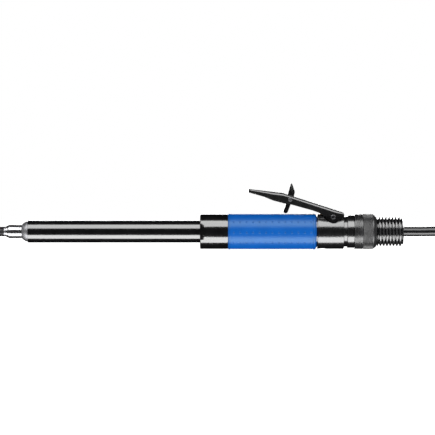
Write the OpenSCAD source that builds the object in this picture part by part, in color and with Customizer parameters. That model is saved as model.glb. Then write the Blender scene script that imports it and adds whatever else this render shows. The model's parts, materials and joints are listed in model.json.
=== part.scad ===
// In-line pneumatic rivet gun with a long barrel, a lever throttle with a
// lock-off latch, a power regulator ring, an exhaust tail for an over-hose,
// and a short supply hose folded into a tied hank.
// The origin is on the axis at the front end of the barrel tube.
// The nose points to -X, the hose leaves to +X, and the lever is on top (+Z).

/* [Nose and barrel] */
// Outer radius of the barrel tube
barrel_r = 11.75; // [11.5:0.05:12]
// Length of the barrel tube ahead of the collar
barrel_len = 183.5; // [170:0.5:200]
// Radius of the bore that the piston runs in
bore_r = 7.15; // [7.1:0.05:7.2]
// Outer radius of the nose sleeve
sleeve_r = 7.1; // [7:0.05:7.2]
// Radius of the rivet set's shank
shank_r = 5.08; // [5:0.02:5.1]
// Travel of the rivet set out of the nose
set_travel = 6; // [3:0.5:6]

/* [Handle] */
// Outer radius of the front collar
collar_r = 18.5; // [18:0.1:18.8]
// Length of the front collar
collar_len = 29.9; // [28:0.1:34]
// Outer radius of the grip sleeve
grip_r = 19; // [18.9:0.1:19.2]
// Length of the grip sleeve
grip_len = 93.9; // [90:0.1:110]
// Outer radius of the handle housing under the grip
housing_r = 16.4; // [16:0.1:16.8]

/* [Throttle] */
// Outer radius of the valve body
body_r = 18.4; // [18.2:0.1:18.6]
// Length of the valve body
body_len = 28.2; // [28:0.1:29]
// Outside width of the lever
lever_w = 18.4; // [18:0.1:19]
// Sheet thickness of the lever
lever_t = 2; // [1.6:0.1:2]
// Radius of the lever pin
lever_pin_r = 2.8; // [2.4:0.1:3]
// Radius of the latch pin
latch_pin_r = 2.3; // [2:0.1:2.4]
// Thickness of the lock-off latch
latch_w = 5.8; // [4:0.2:6]
// Radius of the throttle stem
stem_r = 2.2; // [2:0.1:2.2]

/* [Rear rings and exhaust tail] */
// Outer radius of the lock ring
lock_r = 17.35; // [17:0.05:17.8]
// Outer radius of the ridged exhaust ring
ridge_r = 18.65; // [18:0.05:18.8]
// Outer radius of the regulator ring
regulator_r = 18.8; // [18.5:0.05:18.8]
// Crest radius of the exhaust-hose thread
thread_r = 15.35; // [15:0.05:15.6]
// Pitch of the exhaust-hose thread
thread_pitch = 3.5; // [3:0.1:4]
// Number of thread crests
thread_count = 8; // [6:1:8]

/* [Supply hose] */
// Outer radius of the supply hose
hose_r = 5; // [4:0.5:5]

/* [Hidden] */

$fn = 96;
slip = 0.05; // radial clearance of a running fit
eps = 0.01;

// Stations along the axis
collar_x = barrel_len;
grip_x = collar_x + collar_len;
grip_end = grip_x + grip_len;
body_x = grip_end + 1.1;
body_end = body_x + body_len;
lock_x = body_end + 3.8;
lock_end = lock_x + 7.5;
ridge_x = lock_end + 0.1;
ridge_end = ridge_x + 8.4;
regulator_x = ridge_end + 0.3;
regulator_end = regulator_x + 14.6;
thread_x = regulator_end + 0.3;
tail_end = thread_x + thread_count * thread_pitch + 0.5;

// Nose, all behind or ahead of the barrel's front face at x = 0
cone_len = 6.4;
sleeve_front = -20.3;
sleeve_tip = -23.5;
neck_r = 6.2;
neck_front = -16.6;
waist_r = 4.2;
retainer_w = 2.8;
retainer_rear = neck_front - 0.2;
waist_rear = retainer_rear + set_travel + 0.2;
set_rear = 34;
set_tip = -58;

// Barrel rear end, valve chest and handle
seat_r = barrel_r - 0.25; // of the barrel inside the collar
flange_r = 13.9;
flange_x = collar_x + 7.7;
barrel_end = collar_x + 22.5;
chest_x = barrel_end + 0.2;
chest_wall = 4.3;
shuttle_r = 9;
shuttle_x = chest_x + chest_wall;
shuttle_len = 8;
shuttle_travel = 3.5;
chest_len = chest_wall + shuttle_len + shuttle_travel + 2;
cap_x = chest_x + chest_len;
cap_len = 6;
buffer_x = cap_x + cap_len;
buffer_len = 4;
housing_x = barrel_end + 1.2;
shoulder_x = buffer_x + buffer_len;
chamber_r = 10.5;
spigot_r = 13;
spigot_x = body_x - 8.2;
piston_len = 62;
piston_x = barrel_end - 8 - piston_len;
duct_r = 1.6;
duct_angles = [-2, -26, 182, 206];

// Throttle lever, measured from its pin
pivot = [body_x + 16.9, 15.2];
boss_r = 6.1;
lug_w = 13.9;
kink = [-53.5, 25.9];
front_slope = 6.7;
rear_slope = 17.9;
lever_tip = -90.3;
lever_rear = 11.6;
lever_belly = [
    [-89.9, 26.6], [-73.5, 22], [-63.7, 18], [-52.1, 14.9], [-43.7, 13.5],
    [-21.7, 7.4], [-14.8, 5], [-9.3, 1.1]
];
front_tangent = 223.7;
rear_tangent = -54.4;
latch_at = [-45.7, 19.1];
slot_front = -50.6;
slot_rear = -30.6;
spring_edge = latch_w / 2 + 3.4;

// Throttle stem and its valve, from the top down
stem_x = body_x + 5.2;
stem_crown = 22.85;
lug_top = 17.8;
seat_top = -1;
seat_low = -3;
disc_len = 2;
plug_top = -14.5;
throttle_bore = 4.2;

// Rear rings, tail and inlet
neck_end = body_end + 6.6;
tail_core_r = 13.1;
tail_bore_r = 10.5;
adapter_x = body_end - 8.4;
barb_r = 3.2;
barb_x = adapter_x + 17;
ferrule_x = barb_x + 1;
ferrule_end = ferrule_x + 32;

// Supply hose: free stretch, hank and the last turn up to its plug.
// Both routes are measured from the middle of the hank's front turn.
// The hank lies on the same surface as the grip.
floor_z = -grip_r;
hank_front = tail_end + 129.9;
hank_rear = hank_front + 100;
hank_r = 30;
hank_layers = 3;
hose_route = [
    [-178, 0, 0], [-152, 0, 0], [-130, 0, 0], [-110, 0, 0], [-90, 0, 0],
    [-75, 3, -3], [-55, 11, -9], [-35, 21, -13], [-17, 28, -14], [0, 30, -14]
];
end_route = [
    [0, -30, 6], [-15, -26, 9], [-26, -15, 12], [-30, 0, 15],
    [-26, 15, 17], [-15, 26, 17.5], [0, 30, 17.5]
];
tie_x = hank_rear - 26;
tie_w = 12;
tie_t = 1.3;
plug_at = [hank_front, 0, 0] + end_route[len(end_route) - 1];

// Small helpers ---------------------------------------------------------

// A round bar on the axis from x0 to x1
module bar(x0, x1, r) {
    translate([x0, 0, 0]) rotate([0, 90, 0]) cylinder(h = x1 - x0, r = r);
}

// A turned part on the axis, from its outline of [x, radius] points
module turned(outline) {
    rotate([0, 90, 0])
        rotate_extrude() polygon([for (p = outline) [p[1], p[0]]]);
}

// An outline in the XZ plane, made w thick about the XZ plane
module slab(w) {
    translate([0, w / 2, 0]) rotate([90, 0, 0]) linear_extrude(w) children();
}

// A round bar along Y
module cross_bar(at, r, w) {
    translate([at[0], w / 2, at[1]]) rotate([90, 0, 0]) cylinder(h = w, r = r);
}

// An O-ring on the axis
module o_ring(x, ring_r, wire_r) {
    translate([x, 0, 0]) rotate([0, 90, 0])
        rotate_extrude() translate([ring_r, 0]) circle(wire_r, $fn = 24);
}

// Round holes parallel to the axis at a radius
module ring_of_holes(x0, x1, at_r, r, angles) {
    for (a = angles)
        rotate([a, 0, 0]) translate([0, at_r, 0]) bar(x0, x1, r);
}

function unit(v) = v / norm(v);

// Direction of a route at its point i
function heading(p, i) =
    unit(p[min(i + 1, len(p) - 1)] - p[max(i - 1, 0)]);

// A side direction carried along a route without twist
function square_to(s, t) = unit(s - (s * t) * t);
function sides(p) = [
    for (i = 0, s = square_to([0, 0.3, 1], heading(p, 0)); i < len(p);
        i = i + 1, s = i < len(p) ? square_to(s, heading(p, i)) : s) s
];

// A solid tube of radius r swept along the points of a route
module swept(route, r, count) {
    side = sides(route);
    points = [
        for (i = [0 : len(route) - 1])
            let (s = side[i], u = cross(heading(route, i), s))
            for (k = [0 : count - 1])
                route[i] + r * (cos(360 * k / count) * s
                    + sin(360 * k / count) * u)
    ];
    walls = [
        for (i = [0 : len(route) - 2]) for (k = [0 : count - 1])
            let (a = i * count + k, b = i * count + (k + 1) % count)
            [a, a + count, b + count, b]
    ];
    first = [for (k = [0 : count - 1]) k];
    last = [for (k = [count - 1 : -1 : 0]) (len(route) - 1) * count + k];
    polyhedron(points = points, faces = concat([first], walls, [last]));
}

// Nose --------------------------------------------------------------------

// Rivet set: round shank, waist for the retainer, hexagonal body, cupped end
module rivet_set() {
    color("dimgray") difference() {
        union() {
            turned([
                [waist_rear, 0], [waist_rear, shank_r],
                [set_rear - 1, shank_r], [set_rear, shank_r - 1],
                [set_rear, 0]
            ]);
            bar(-21, waist_rear + eps, waist_r);
            turned([
                [-25.5, 0], [-25.5, shank_r], [-20, shank_r], [-20, 0]
            ]);
            bar_hex(-46, -25.5 + eps, shank_r);
            turned([
                [set_tip, 0], [set_tip, 3.8], [set_tip + 1, 4.2],
                [-47, 4.3], [-46 + eps, 4.4], [-46 + eps, 0]
            ]);
        }
        translate([set_tip - 1.6, 0, 0]) sphere(3.2);
    }
}

// A hexagonal bar on the axis with two corners up and down
module bar_hex(x0, x1, r) {
    translate([x0, 0, 0]) rotate([0, 90, 0]) cylinder(h = x1 - x0, r = r, $fn = 6);
}

// Sleeve that holds the retainer on the nose cone's neck
module nose_sleeve() {
    color("silver") difference() {
        turned([
            [sleeve_tip, 0], [sleeve_tip, 5.7],
            [sleeve_front - 1.2, 6.4], [sleeve_front, sleeve_r],
            [-cone_len - 0.1, sleeve_r], [-cone_len - 0.1, 0]
        ]);
        bar(sleeve_tip - 1, 0, 5.3);
        bar(retainer_rear - retainer_w - 0.2, 0, neck_r + slip);
    }
}

// Split ring that stands in the rivet set's waist
module set_retainer() {
    color("gray") difference() {
        bar(retainer_rear - retainer_w, retainer_rear, neck_r - 0.1);
        bar(-30, 0, waist_r + 0.25);
        translate([-30, -0.6, 0]) cube([30, 1.2, 20]);
    }
}

// Rounded steel cone that screws into the barrel
module nose_cone() {
    color("lightgray") difference() {
        turned([
            [neck_front, 0], [neck_front, neck_r], [-cone_len, neck_r],
            [-cone_len, 7.5], [-5.4, 8.5], [-4.1, 9.4], [-2.6, 10.2],
            [-1.2, 10.7], [-eps, 10.75], [-eps, 8.95], [20, 8.95], [20, 0]
        ]);
        bar(-30, 30, 5.3);
        bar(-4, 30, 6.5);
    }
}

// Bronze bushing that guides the rivet set's shank
module set_bushing() {
    color("peru") difference() {
        bar(-3.9, 19.9, 6.45);
        bar(-10, 30, shank_r + slip);
    }
}

// Barrel ------------------------------------------------------------------

// Long barrel: front counterbore, piston bore, rear flange, return duct
module barrel_tube() {
    color("#151517") difference() {
        turned([
            [0, 0], [0, barrel_r], [collar_x - 0.05, barrel_r],
            [collar_x - 0.05, seat_r], [flange_x, seat_r],
            [flange_x, flange_r],
            [barrel_end, flange_r], [barrel_end, 0]
        ]);
        bar(-1, 20.1, 9);
        bar(-1, barrel_end + 1, bore_r);
        translate([0, 0, -9.8]) bar(30, barrel_end + 1, 1.1);
        translate([31, 0, -10]) cylinder(h = 6, r = 1.1);
    }
}

// Free piston with a striking nose and two oil grooves
module piston() {
    r = bore_r - slip;
    color("silver") turned([
        [piston_x, 0], [piston_x, 4.4], [piston_x + 0.6, 5],
        [piston_x + 9, 5], [piston_x + 11, r], [piston_x + 20, r],
        [piston_x + 20, r - 0.5], [piston_x + 21.5, r - 0.5],
        [piston_x + 21.5, r], [piston_x + 40, r],
        [piston_x + 40, r - 0.5], [piston_x + 41.5, r - 0.5],
        [piston_x + 41.5, r], [piston_x + piston_len - 0.6, r],
        [piston_x + piston_len, r - 0.6], [piston_x + piston_len, 0]
    ]);
}

seal_x = collar_x + 4.8;

// O-ring between the barrel and the collar
module barrel_seal() {
    color("black") o_ring(seal_x, seat_r + 0.95, 0.9);
}

// Front collar with two spanner flats: it clamps the barrel to the handle
module front_collar() {
    flat = 32.7;
    color("#19191b") difference() {
        turned([
            [collar_x, 0], [collar_x, collar_r - 0.7],
            [collar_x + 0.7, collar_r], [grip_x - 0.3, collar_r],
            [grip_x, collar_r - 0.3], [grip_x, 0]
        ]);
        bar(collar_x - 1, grip_x + 1, seat_r + 0.06);
        bar(seal_x - 1, seal_x + 1, seat_r + 1.9);
        bar(flange_x - 0.1, grip_x + 1, flange_r + 0.1);
        bar(housing_x - 0.1, grip_x + 1, housing_r + 0.05);
        for (s = [-1, 1])
            translate([collar_x - 1, s == 1 ? flat / 2 : -flat / 2 - 5, -20])
                cube([5.3, 5, 40]);
    }
}

// Percussion valve ----------------------------------------------------------

chest_r = flange_r + 0.05;
air_holes = [for (k = [0 : 5]) 60 * k];

// Chest that the shuttle valve runs in
module valve_chest() {
    color("silver") difference() {
        bar(chest_x, cap_x, chest_r);
        bar(chest_x - 1, cap_x + 1, 5.5);
        bar(shuttle_x - 0.2, cap_x + 1, shuttle_r + slip);
        ring_of_holes(chest_x - 1, cap_x + 1, 11.5, 1.1, air_holes);
    }
}

// Shuttle that sends air to either side of the piston
module shuttle_valve() {
    color("gold") difference() {
        turned([
            [shuttle_x, 0], [shuttle_x, shuttle_r - 0.3],
            [shuttle_x + 0.3, shuttle_r], [shuttle_x + 3, shuttle_r],
            [shuttle_x + 3, shuttle_r - 0.8], [shuttle_x + 5, shuttle_r - 0.8],
            [shuttle_x + 5, shuttle_r],
            [shuttle_x + shuttle_len, shuttle_r], [shuttle_x + shuttle_len, 0]
        ]);
        bar(shuttle_x - 1, shuttle_x + shuttle_len + 1, 6);
    }
}

// Cap that closes the chest
module valve_cap() {
    color("silver") difference() {
        union() {
            bar(cap_x, buffer_x, chest_r);
            bar(cap_x - 1.5, cap_x + eps, shuttle_r - slip);
        }
        bar(cap_x - 2, buffer_x + 1, 2.5);
        ring_of_holes(cap_x - 1, buffer_x + 1, 11.5, 1.1, air_holes);
    }
}

// Rubber ring that takes the recoil of the chest
module cap_buffer() {
    color("black") difference() {
        bar(buffer_x, shoulder_x, flange_r - 0.1);
        bar(buffer_x - 1, shoulder_x + 1, 8.5);
    }
}

// Handle --------------------------------------------------------------------

// Steel tube under the grip, with four exhaust ducts in its wall
module handle_housing() {
    color("#232326") difference() {
        bar(housing_x, body_x - 0.1, housing_r);
        bar(housing_x - 1, shoulder_x, flange_r + 0.1);
        bar(housing_x, body_x + 1, chamber_r);
        bar(spigot_x - 0.2, body_x + 1, spigot_r + slip);
        ring_of_holes(shoulder_x - 1, body_x + 1, 13.3, duct_r, duct_angles);
    }
}

// Moulded grip sleeve with a soft radius at both ends
module grip_sleeve() {
    color("#0b66c2") difference() {
        turned([
            [grip_x, 0], [grip_x, grip_r - 0.5], [grip_x + 0.2, grip_r - 0.2],
            [grip_x + 0.6, grip_r], [grip_end - 1.2, grip_r],
            [grip_end - 0.5, grip_r - 0.3], [grip_end, grip_r - 1.1],
            [grip_end, 0]
        ]);
        bar(grip_x - 1, grip_end + 1, housing_r + 0.05);
    }
}

// Valve body ------------------------------------------------------------------

// Side outline of the pocket that each ear of the lever stands in
module ear_pocket() {
    union() {
        translate(pivot) circle(boss_r + 0.5);
        polygon([
            pivot + [-25, -0.8], pivot + [-10.1, -0.8], pivot + [-4.2, -5.6],
            pivot, pivot + (boss_r + 0.5) * [cos(rear_tangent), sin(rear_tangent)],
            pivot + [12.2, 0.6], pivot + [12.2, 15], pivot + [-25, 15]
        ]);
    }
}

// Side outline of the lug between the ears
module lug_outline() {
    union() {
        translate([body_x, 0]) square([pivot[0] - body_x, lug_top]);
        translate(pivot) circle(boss_r - 0.2);
        translate([pivot[0], 0]) square([body_end - pivot[0], 16.9]);
    }
}

module valve_body() {
    color("#161618") difference() {
        union() {
            difference() {
                turned([
                    [body_x, 0], [body_x, body_r - 0.4],
                    [body_x + 0.4, body_r], [body_end - 0.4, body_r],
                    [body_end, body_r - 0.4], [body_end, 0]
                ]);
                for (s = [-1, 1])
                    translate([0, s * (lug_w / 2 + 15), 0])
                        slab(30) ear_pocket();
                translate([body_x - 1, -lug_w / 2, 14.4])
                    cube([body_len + 2, lug_w, 10]);
            }
            slab(lug_w) intersection() {
                lug_outline();
                translate([body_x, 8]) square([body_len, 20]);
            }
            bar(spigot_x, body_x + 1, spigot_r);
            bar(body_end - 1, neck_end, 16);
        }
        // seal grooves on the front spigot
        for (x = [spigot_x + 2.2, spigot_x + 5.4])
            translate([x - 0.9, 0, 0]) rotate([0, 90, 0]) difference() {
                cylinder(h = 1.8, r = spigot_r + 1);
                translate([0, 0, -1]) cylinder(h = 4, r = spigot_r - 1.4);
            }
        // plenum, inlet thread and exhaust ducts
        bar(body_end + 0.4, neck_end + 1, tail_core_r + 0.1);
        bar(adapter_x - 0.2, neck_end, 8);
        ring_of_holes(spigot_x - 1, neck_end, 11.5, duct_r, duct_angles);
        // throttle bores
        translate([stem_x, 0, 8.5]) cylinder(h = 20, r = 3.95);
        translate([stem_x, 0, seat_top]) cylinder(h = 12, r = 3.4);
        translate([stem_x, 0, plug_top])
            cylinder(h = seat_top - plug_top, r = throttle_bore);
        translate([stem_x, 0, -25]) cylinder(h = 25 + plug_top + eps, r = 4.45);
        translate([0, 0, 4.5]) bar(spigot_x - 1, stem_x, 2.8);
        translate([0, 0, -6.5]) bar(stem_x, adapter_x + 1, 2.6);
        cross_bar(pivot, lever_pin_r + 0.02, 40);
    }
}

// Two O-rings on the valve body's front spigot
module body_seals() {
    color("black")
        for (x = [spigot_x + 2.2, spigot_x + 5.4])
            o_ring(x, spigot_r - 0.65, 0.65);
}

// Bush that guides the throttle stem
module stem_bush() {
    color("peru") translate([stem_x, 0, 0]) difference() {
        union() {
            translate([0, 0, 8.7]) cylinder(h = lug_top - 8.7, r = 3.9);
            translate([0, 0, lug_top]) cylinder(h = 0.8, r = 4.6);
        }
        cylinder(h = 30, r = stem_r + slip);
    }
}

// Stem that the lever presses, with a domed top and a thin lower end
module throttle_stem() {
    color("silver") translate([stem_x, 0, 0]) union() {
        translate([0, 0, stem_crown]) sphere(stem_r);
        translate([0, 0, 0]) cylinder(h = stem_crown, r = stem_r);
        translate([0, 0, -9]) cylinder(h = 9 + eps, r = 1.3);
    }
}

// Rubber-faced disc on the stem
module throttle_valve() {
    color("#333333") translate([stem_x, 0, seat_low - 0.1 - disc_len]) difference() {
        cylinder(h = disc_len, r = 3.5);
        translate([0, 0, -1]) cylinder(h = 5, r = 1.3);
    }
}

// Seat that the disc closes against
module valve_seat() {
    color("peru") translate([stem_x, 0, seat_low]) difference() {
        cylinder(h = seat_top - seat_low, r = throttle_bore - 0.02);
        translate([0, 0, -1]) cylinder(h = 6, r = 2.6);
    }
}

// Coil of turns about +Z, from z0 to z1
function coil_points(at, r, z0, z1, turns, steps) = [
    for (i = [0 : turns * steps])
        let (a = 360 * i / steps)
        at + [r * cos(a), r * sin(a), z0 + (z1 - z0) * i / (turns * steps)]
];

// Spring under the disc
module valve_spring() {
    wire = 0.35;
    color("lightgray") swept(
        coil_points([stem_x, 0, 0], 2.5, plug_top + wire + 0.05,
            seat_low - disc_len - wire - 0.2, 5, 12),
        wire, 8);
}

// Plug that closes the throttle bore from below, with a hexagon socket
module valve_plug() {
    color("#2a2a2c") translate([stem_x, 0, 0]) difference() {
        translate([0, 0, -17.8]) cylinder(h = 17.8 + plug_top, r = 4.4);
        translate([0, 0, -18]) cylinder(h = 2.4, r = 2.3, $fn = 6);
    }
}

// Lever and latch ---------------------------------------------------------------

// Height of the lever's top edge above its pin at x, both from the pin
function lever_top(x) = x < kink[0]
    ? kink[1] + (kink[0] - x) * tan(front_slope)
    : kink[1] - (x - kink[0]) * tan(rear_slope);

// The same for the underside of its top sheet
function lever_under(x) = lever_top(x)
    - lever_t / cos(x < kink[0] ? front_slope : rear_slope);

// Side outline of the lever, measured from its pin
module lever_outline() {
    union() {
        circle(boss_r);
        polygon(concat(
            [
                [lever_rear, lever_top(lever_rear) - 0.9],
                [lever_rear - 1, lever_top(lever_rear - 1)],
                kink,
                [lever_tip + 0.6, lever_top(lever_tip + 0.6)],
                [lever_tip, lever_top(lever_tip) - 1]
            ],
            lever_belly,
            [
                boss_r * [cos(front_tangent), sin(front_tangent)],
                boss_r * [cos(rear_tangent), sin(rear_tangent)],
                [lever_rear, 0.8]
            ]
        ));
    }
}

// Plan outline of the lever with a rounded tip, measured from its pin
module lever_plan() {
    corner = 5;
    w = lever_w / 2;
    union() {
        translate([lever_tip + corner, -w])
            square([lever_rear - lever_tip, lever_w]);
        translate([lever_tip, -w + corner])
            square([corner * 2, lever_w - 2 * corner]);
        for (s = [-1, 1])
            translate([lever_tip + corner, s * (w - corner)]) circle(corner);
    }
}

module throttle_lever() {
    inside = lever_w - 2 * lever_t;
    color("#18181a") translate([pivot[0], 0, pivot[1]]) difference() {
        intersection() {
            slab(lever_w) lever_outline();
            translate([0, 0, -20]) linear_extrude(60) lever_plan();
        }
        slab(inside) polygon([
            [lever_tip + 3, lever_under(lever_tip + 3)],
            [kink[0], lever_under(kink[0])],
            [lever_rear + 1, lever_under(lever_rear + 1)],
            [lever_rear + 1, -20], [lever_tip + 3, -20]
        ]);
        // slot for the latch, with the spring's coil beside it
        translate([slot_front, -latch_w / 2 - 0.5, 0])
            cube([slot_rear - slot_front, latch_w / 2 + 0.5 + spring_edge, 60]);
        cross_bar([0, 0], lever_pin_r + slip, 40);
        cross_bar(latch_at, latch_pin_r + 0.02, 40);
    }
}

// Pin that the lever turns on, drilled at both ends
module lever_pin() {
    color("#4a4a4e") difference() {
        cross_bar(pivot, lever_pin_r, lever_w + 0.8);
        for (s = [-1, 1])
            translate([0, s * (lever_w / 2 + 0.4), 0]) cross_bar(pivot, 1.5, 6);
    }
}

// Lock-off latch: its foot stands over the grip until it is swung forward.
// Its shape is measured from its pin.
module lock_off_latch() {
    foot = [-4.7, -12.35];
    half_leg = 2.4;
    side = half_leg * [unit(foot)[1], -unit(foot)[0]];
    color("#141416") translate([pivot[0] + latch_at[0], 0, pivot[1] + latch_at[1]])
        difference() {
            union() {
                cross_bar([0, 0], 4, latch_w);
                cross_bar(foot, half_leg, latch_w);
                slab(latch_w) polygon([foot + side, foot - side, -side, side]);
                slab(latch_w) polygon([
                    [-3.1, -1], [-2.6, 6.5], [-2.2, 7.6], [0.2, 16.2],
                    [0.8, 17], [1.7, 17], [2.3, 16.2], [5, 8.6],
                    [4.9, 7.2], [3.1, -1]
                ]);
            }
            cross_bar([0, 0], latch_pin_r + slip, 20);
        }
}

module latch_pin() {
    color("#7c7c80")
        cross_bar(pivot + latch_at, latch_pin_r, lever_w + 0.6);
}

// Torsion spring beside the latch, round its pin
module latch_spring() {
    wire = 0.3;
    ring = latch_pin_r + wire + 0.15;
    turns = 3;
    steps = 12;
    y0 = latch_w / 2 + wire + 0.2;
    coil = [
        for (i = [0 : turns * steps])
            let (a = 360 * i / steps - 90)
            [ring * cos(a), y0 + 0.8 * i / steps, ring * sin(a)]
    ];
    legs = concat([coil[0] + [-6, 0, 0.1]], coil,
        [coil[turns * steps] + [6.5, 0, -0.6]]);
    color("lightgray")
        translate([pivot[0] + latch_at[0], 0, pivot[1] + latch_at[1]])
            swept(legs, wire, 8);
}

// Rear rings and exhaust tail -----------------------------------------------------

// Ring that screws on the valve body's neck and clamps the tail
module lock_ring() {
    color("#1a1a1c") difference() {
        turned([
            [lock_x, 0], [lock_x, lock_r - 0.4], [lock_x + 0.4, lock_r],
            [lock_end - 0.4, lock_r], [lock_end, lock_r - 0.4], [lock_end, 0]
        ]);
        bar(lock_x - 1, neck_end + 0.1, 16.05);
        bar(lock_x - 1, lock_end + 1, tail_core_r + slip);
    }
}

// Ring with fine ridges round it
module exhaust_ring() {
    count = 7;
    pitch = (ridge_end - ridge_x) / count;
    ridges = [
        for (k = [0 : count - 1]) each [
            [ridge_x + k * pitch, ridge_r - 0.35],
            [ridge_x + (k + 0.3) * pitch, ridge_r],
            [ridge_x + (k + 0.7) * pitch, ridge_r]
        ]
    ];
    color("#2b2b2e") difference() {
        turned(concat([[ridge_x, 0]], ridges,
            [[ridge_end, ridge_r - 0.35], [ridge_end, 0]]));
        bar(ridge_x - 1, ridge_end + 1, tail_core_r + slip);
    }
}

// Power regulator: its off-centre groove opens or closes the exhaust ports
module regulator_ring() {
    color("#5a5a5c") difference() {
        turned([
            [regulator_x, 0], [regulator_x, regulator_r - 0.5],
            [regulator_x + 0.5, regulator_r], [regulator_end - 3, regulator_r],
            [regulator_end, regulator_r - 3], [regulator_end, 0]
        ]);
        bar(regulator_x - 1, regulator_end + 1, tail_core_r + 0.07);
        translate([0, 1.2, 0]) bar(regulator_x + 2.6, regulator_end - 3, 14.6);
    }
}

// O-ring that gives the regulator ring its friction
module regulator_seal() {
    color("black") o_ring(regulator_x + 1.3, tail_core_r - 0.6, 0.6);
}

// Core tube, exhaust ports and the coarse thread for an over-hose
module exhaust_tail() {
    crests = [
        for (k = [0 : thread_count - 1]) each [
            [thread_x + (k + 0.05) * thread_pitch, 13.2],
            [thread_x + (k + 0.3) * thread_pitch, thread_r],
            [thread_x + (k + 0.6) * thread_pitch, thread_r],
            [thread_x + (k + 0.9) * thread_pitch, 13.2]
        ]
    ];
    ports = [45, 135, 225, 315];
    color("#1c1c1e") difference() {
        turned(concat(
            [[body_end + 0.6, 0], [body_end + 0.6, tail_core_r],
                [thread_x, tail_core_r]],
            crests,
            [[tail_end - 0.2, 13.2], [tail_end, 12.8], [tail_end, 0]]
        ));
        bar(body_end, tail_end + 1, tail_bore_r);
        for (x = [regulator_x + 4.6, regulator_end - 5], a = ports)
            rotate([a, 0, 0]) translate([x, 0, 0]) cylinder(h = 20, r = 1.5);
        // groove of the regulator's O-ring
        translate([regulator_x + 0.5, 0, 0]) rotate([0, 90, 0]) difference() {
            cylinder(h = 1.6, r = tail_core_r + 1);
            translate([0, 0, -1]) cylinder(h = 4, r = tail_core_r - 1.25);
        }
    }
}

// Sintered disc that turns the exhaust out through the ports and in again
module silencer_disc() {
    color("goldenrod") difference() {
        bar(regulator_x + 6.3, regulator_x + 8.3, tail_bore_r - 0.05);
        bar(regulator_x, regulator_end, 6.4);
    }
}

// Air inlet: thread, hexagon and hose barb
module inlet_adapter() {
    barbs = [
        for (k = [0 : 4]) each [
            [barb_x + 3 + 5 * k, barb_r - 0.4],
            [barb_x + 7.5 + 5 * k, barb_r]
        ]
    ];
    color("darkgoldenrod") difference() {
        union() {
            bar(adapter_x, adapter_x + 9, 7.95);
            bar_hex(adapter_x + 9 - eps, barb_x, 8.4);
            turned(concat([[barb_x - eps, 0], [barb_x - eps, barb_r - 0.4]], barbs,
                [[barb_x + 29, barb_r - 0.6], [barb_x + 29, 0]]));
        }
        bar(adapter_x - 1, barb_x + 40, 2);
        bar(adapter_x - 1, adapter_x + 2.5, 5.5);
    }
}

// Strainer in the mouth of the inlet
module inlet_screen() {
    color("silver") difference() {
        bar(adapter_x + 0.3, adapter_x + 1.5, 5.4);
        ring_of_holes(adapter_x, adapter_x + 3, 3, 0.8, air_holes);
        bar(adapter_x, adapter_x + 3, 0.8);
    }
}

// Crimped ferrule that holds the hose on the barb
module hose_ferrule() {
    color("darkgray") difference() {
        turned([
            [ferrule_x, 0], [ferrule_x, 5.8], [ferrule_x + 0.6, 6.3],
            [ferrule_x + 9, 6.3], [ferrule_x + 9.6, 5.9],
            [ferrule_x + 11.4, 5.9], [ferrule_x + 12, 6.3],
            [ferrule_x + 20, 6.3], [ferrule_x + 20.6, 5.9],
            [ferrule_x + 22.4, 5.9], [ferrule_x + 23, 6.3],
            [ferrule_end - 0.6, 6.3], [ferrule_end, 5.9], [ferrule_end, 0]
        ]);
        bar(ferrule_x - 1, ferrule_end + 1, hose_r + 0.1);
    }
}

// Supply hose -------------------------------------------------------------------

module supply_hose() {
    color("#101012") translate([hank_front, 0, 0]) swept(hose_route, hose_r, 12);
}

// Outline with round ends, r from the middle of the runs
module hank_outline(r) {
    union() {
        translate([hank_front, -r]) square([hank_rear - hank_front, 2 * r]);
        translate([hank_front, 0]) circle(r);
        translate([hank_rear, 0]) circle(r);
    }
}

module hose_hank() {
    height = hank_layers * 2 * hose_r;
    color("#101012") difference() {
        translate([0, 0, floor_z]) linear_extrude(height) difference() {
            hank_outline(hank_r + hose_r);
            hank_outline(hank_r - hose_r);
        }
        tie_band();
    }
}

module hose_end() {
    color("#101012") translate([hank_front, 0, 0]) swept(end_route, hose_r, 12);
}

// Flat band round the whole hank
module tie_band() {
    w = 2 * (hank_r + hose_r);
    h = hank_layers * 2 * hose_r;
    difference() {
        translate([tie_x, -w / 2, floor_z]) cube([tie_w, w, h]);
        translate([tie_x - 1, -w / 2 + tie_t, floor_z + tie_t])
            cube([tie_w + 2, w - 2 * tie_t, h - 2 * tie_t]);
    }
}

module hose_tie() {
    color("#2c2c30") tie_band();
}

module plug_ferrule() {
    color("darkgray") translate(plug_at) turned([
        [0, 0], [0, 5.6], [0.6, 6.4], [8, 6.4], [8.6, 6], [10.4, 6],
        [11, 6.4], [21.4, 6.4], [22, 6], [22, 0]
    ]);
}

// Quick-coupling nipple: hexagon, collar, locking groove and nose
module hose_plug() {
    color("silver") translate(plug_at) difference() {
        union() {
            rotate([30, 0, 0]) bar_hex(22, 30, 7.5);
            turned([
                [30 - eps, 0], [30 - eps, 5], [33, 5], [33, 5.9],
                [39, 5.9], [40, 4.6], [44, 4.6], [45, 5.6], [47, 5.6],
                [48.5, 3.95], [60, 3.95], [61, 3.2], [61, 0]
            ]);
        }
        bar(24, 62, 2.5);
    }
}

rivet_set();
nose_sleeve();
set_retainer();
nose_cone();
set_bushing();
barrel_tube();
piston();
barrel_seal();
front_collar();
valve_chest();
shuttle_valve();
valve_cap();
cap_buffer();
handle_housing();
grip_sleeve();
valve_body();
body_seals();
stem_bush();
throttle_stem();
throttle_valve();
valve_seat();
valve_spring();
valve_plug();
throttle_lever();
lever_pin();
lock_off_latch();
latch_pin();
latch_spring();
lock_ring();
exhaust_ring();
regulator_ring();
regulator_seal();
exhaust_tail();
silencer_disc();
inlet_adapter();
inlet_screen();
hose_ferrule();
supply_hose();
hose_hank();
hose_end();
hose_tie();
plug_ferrule();
hose_plug();
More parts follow.
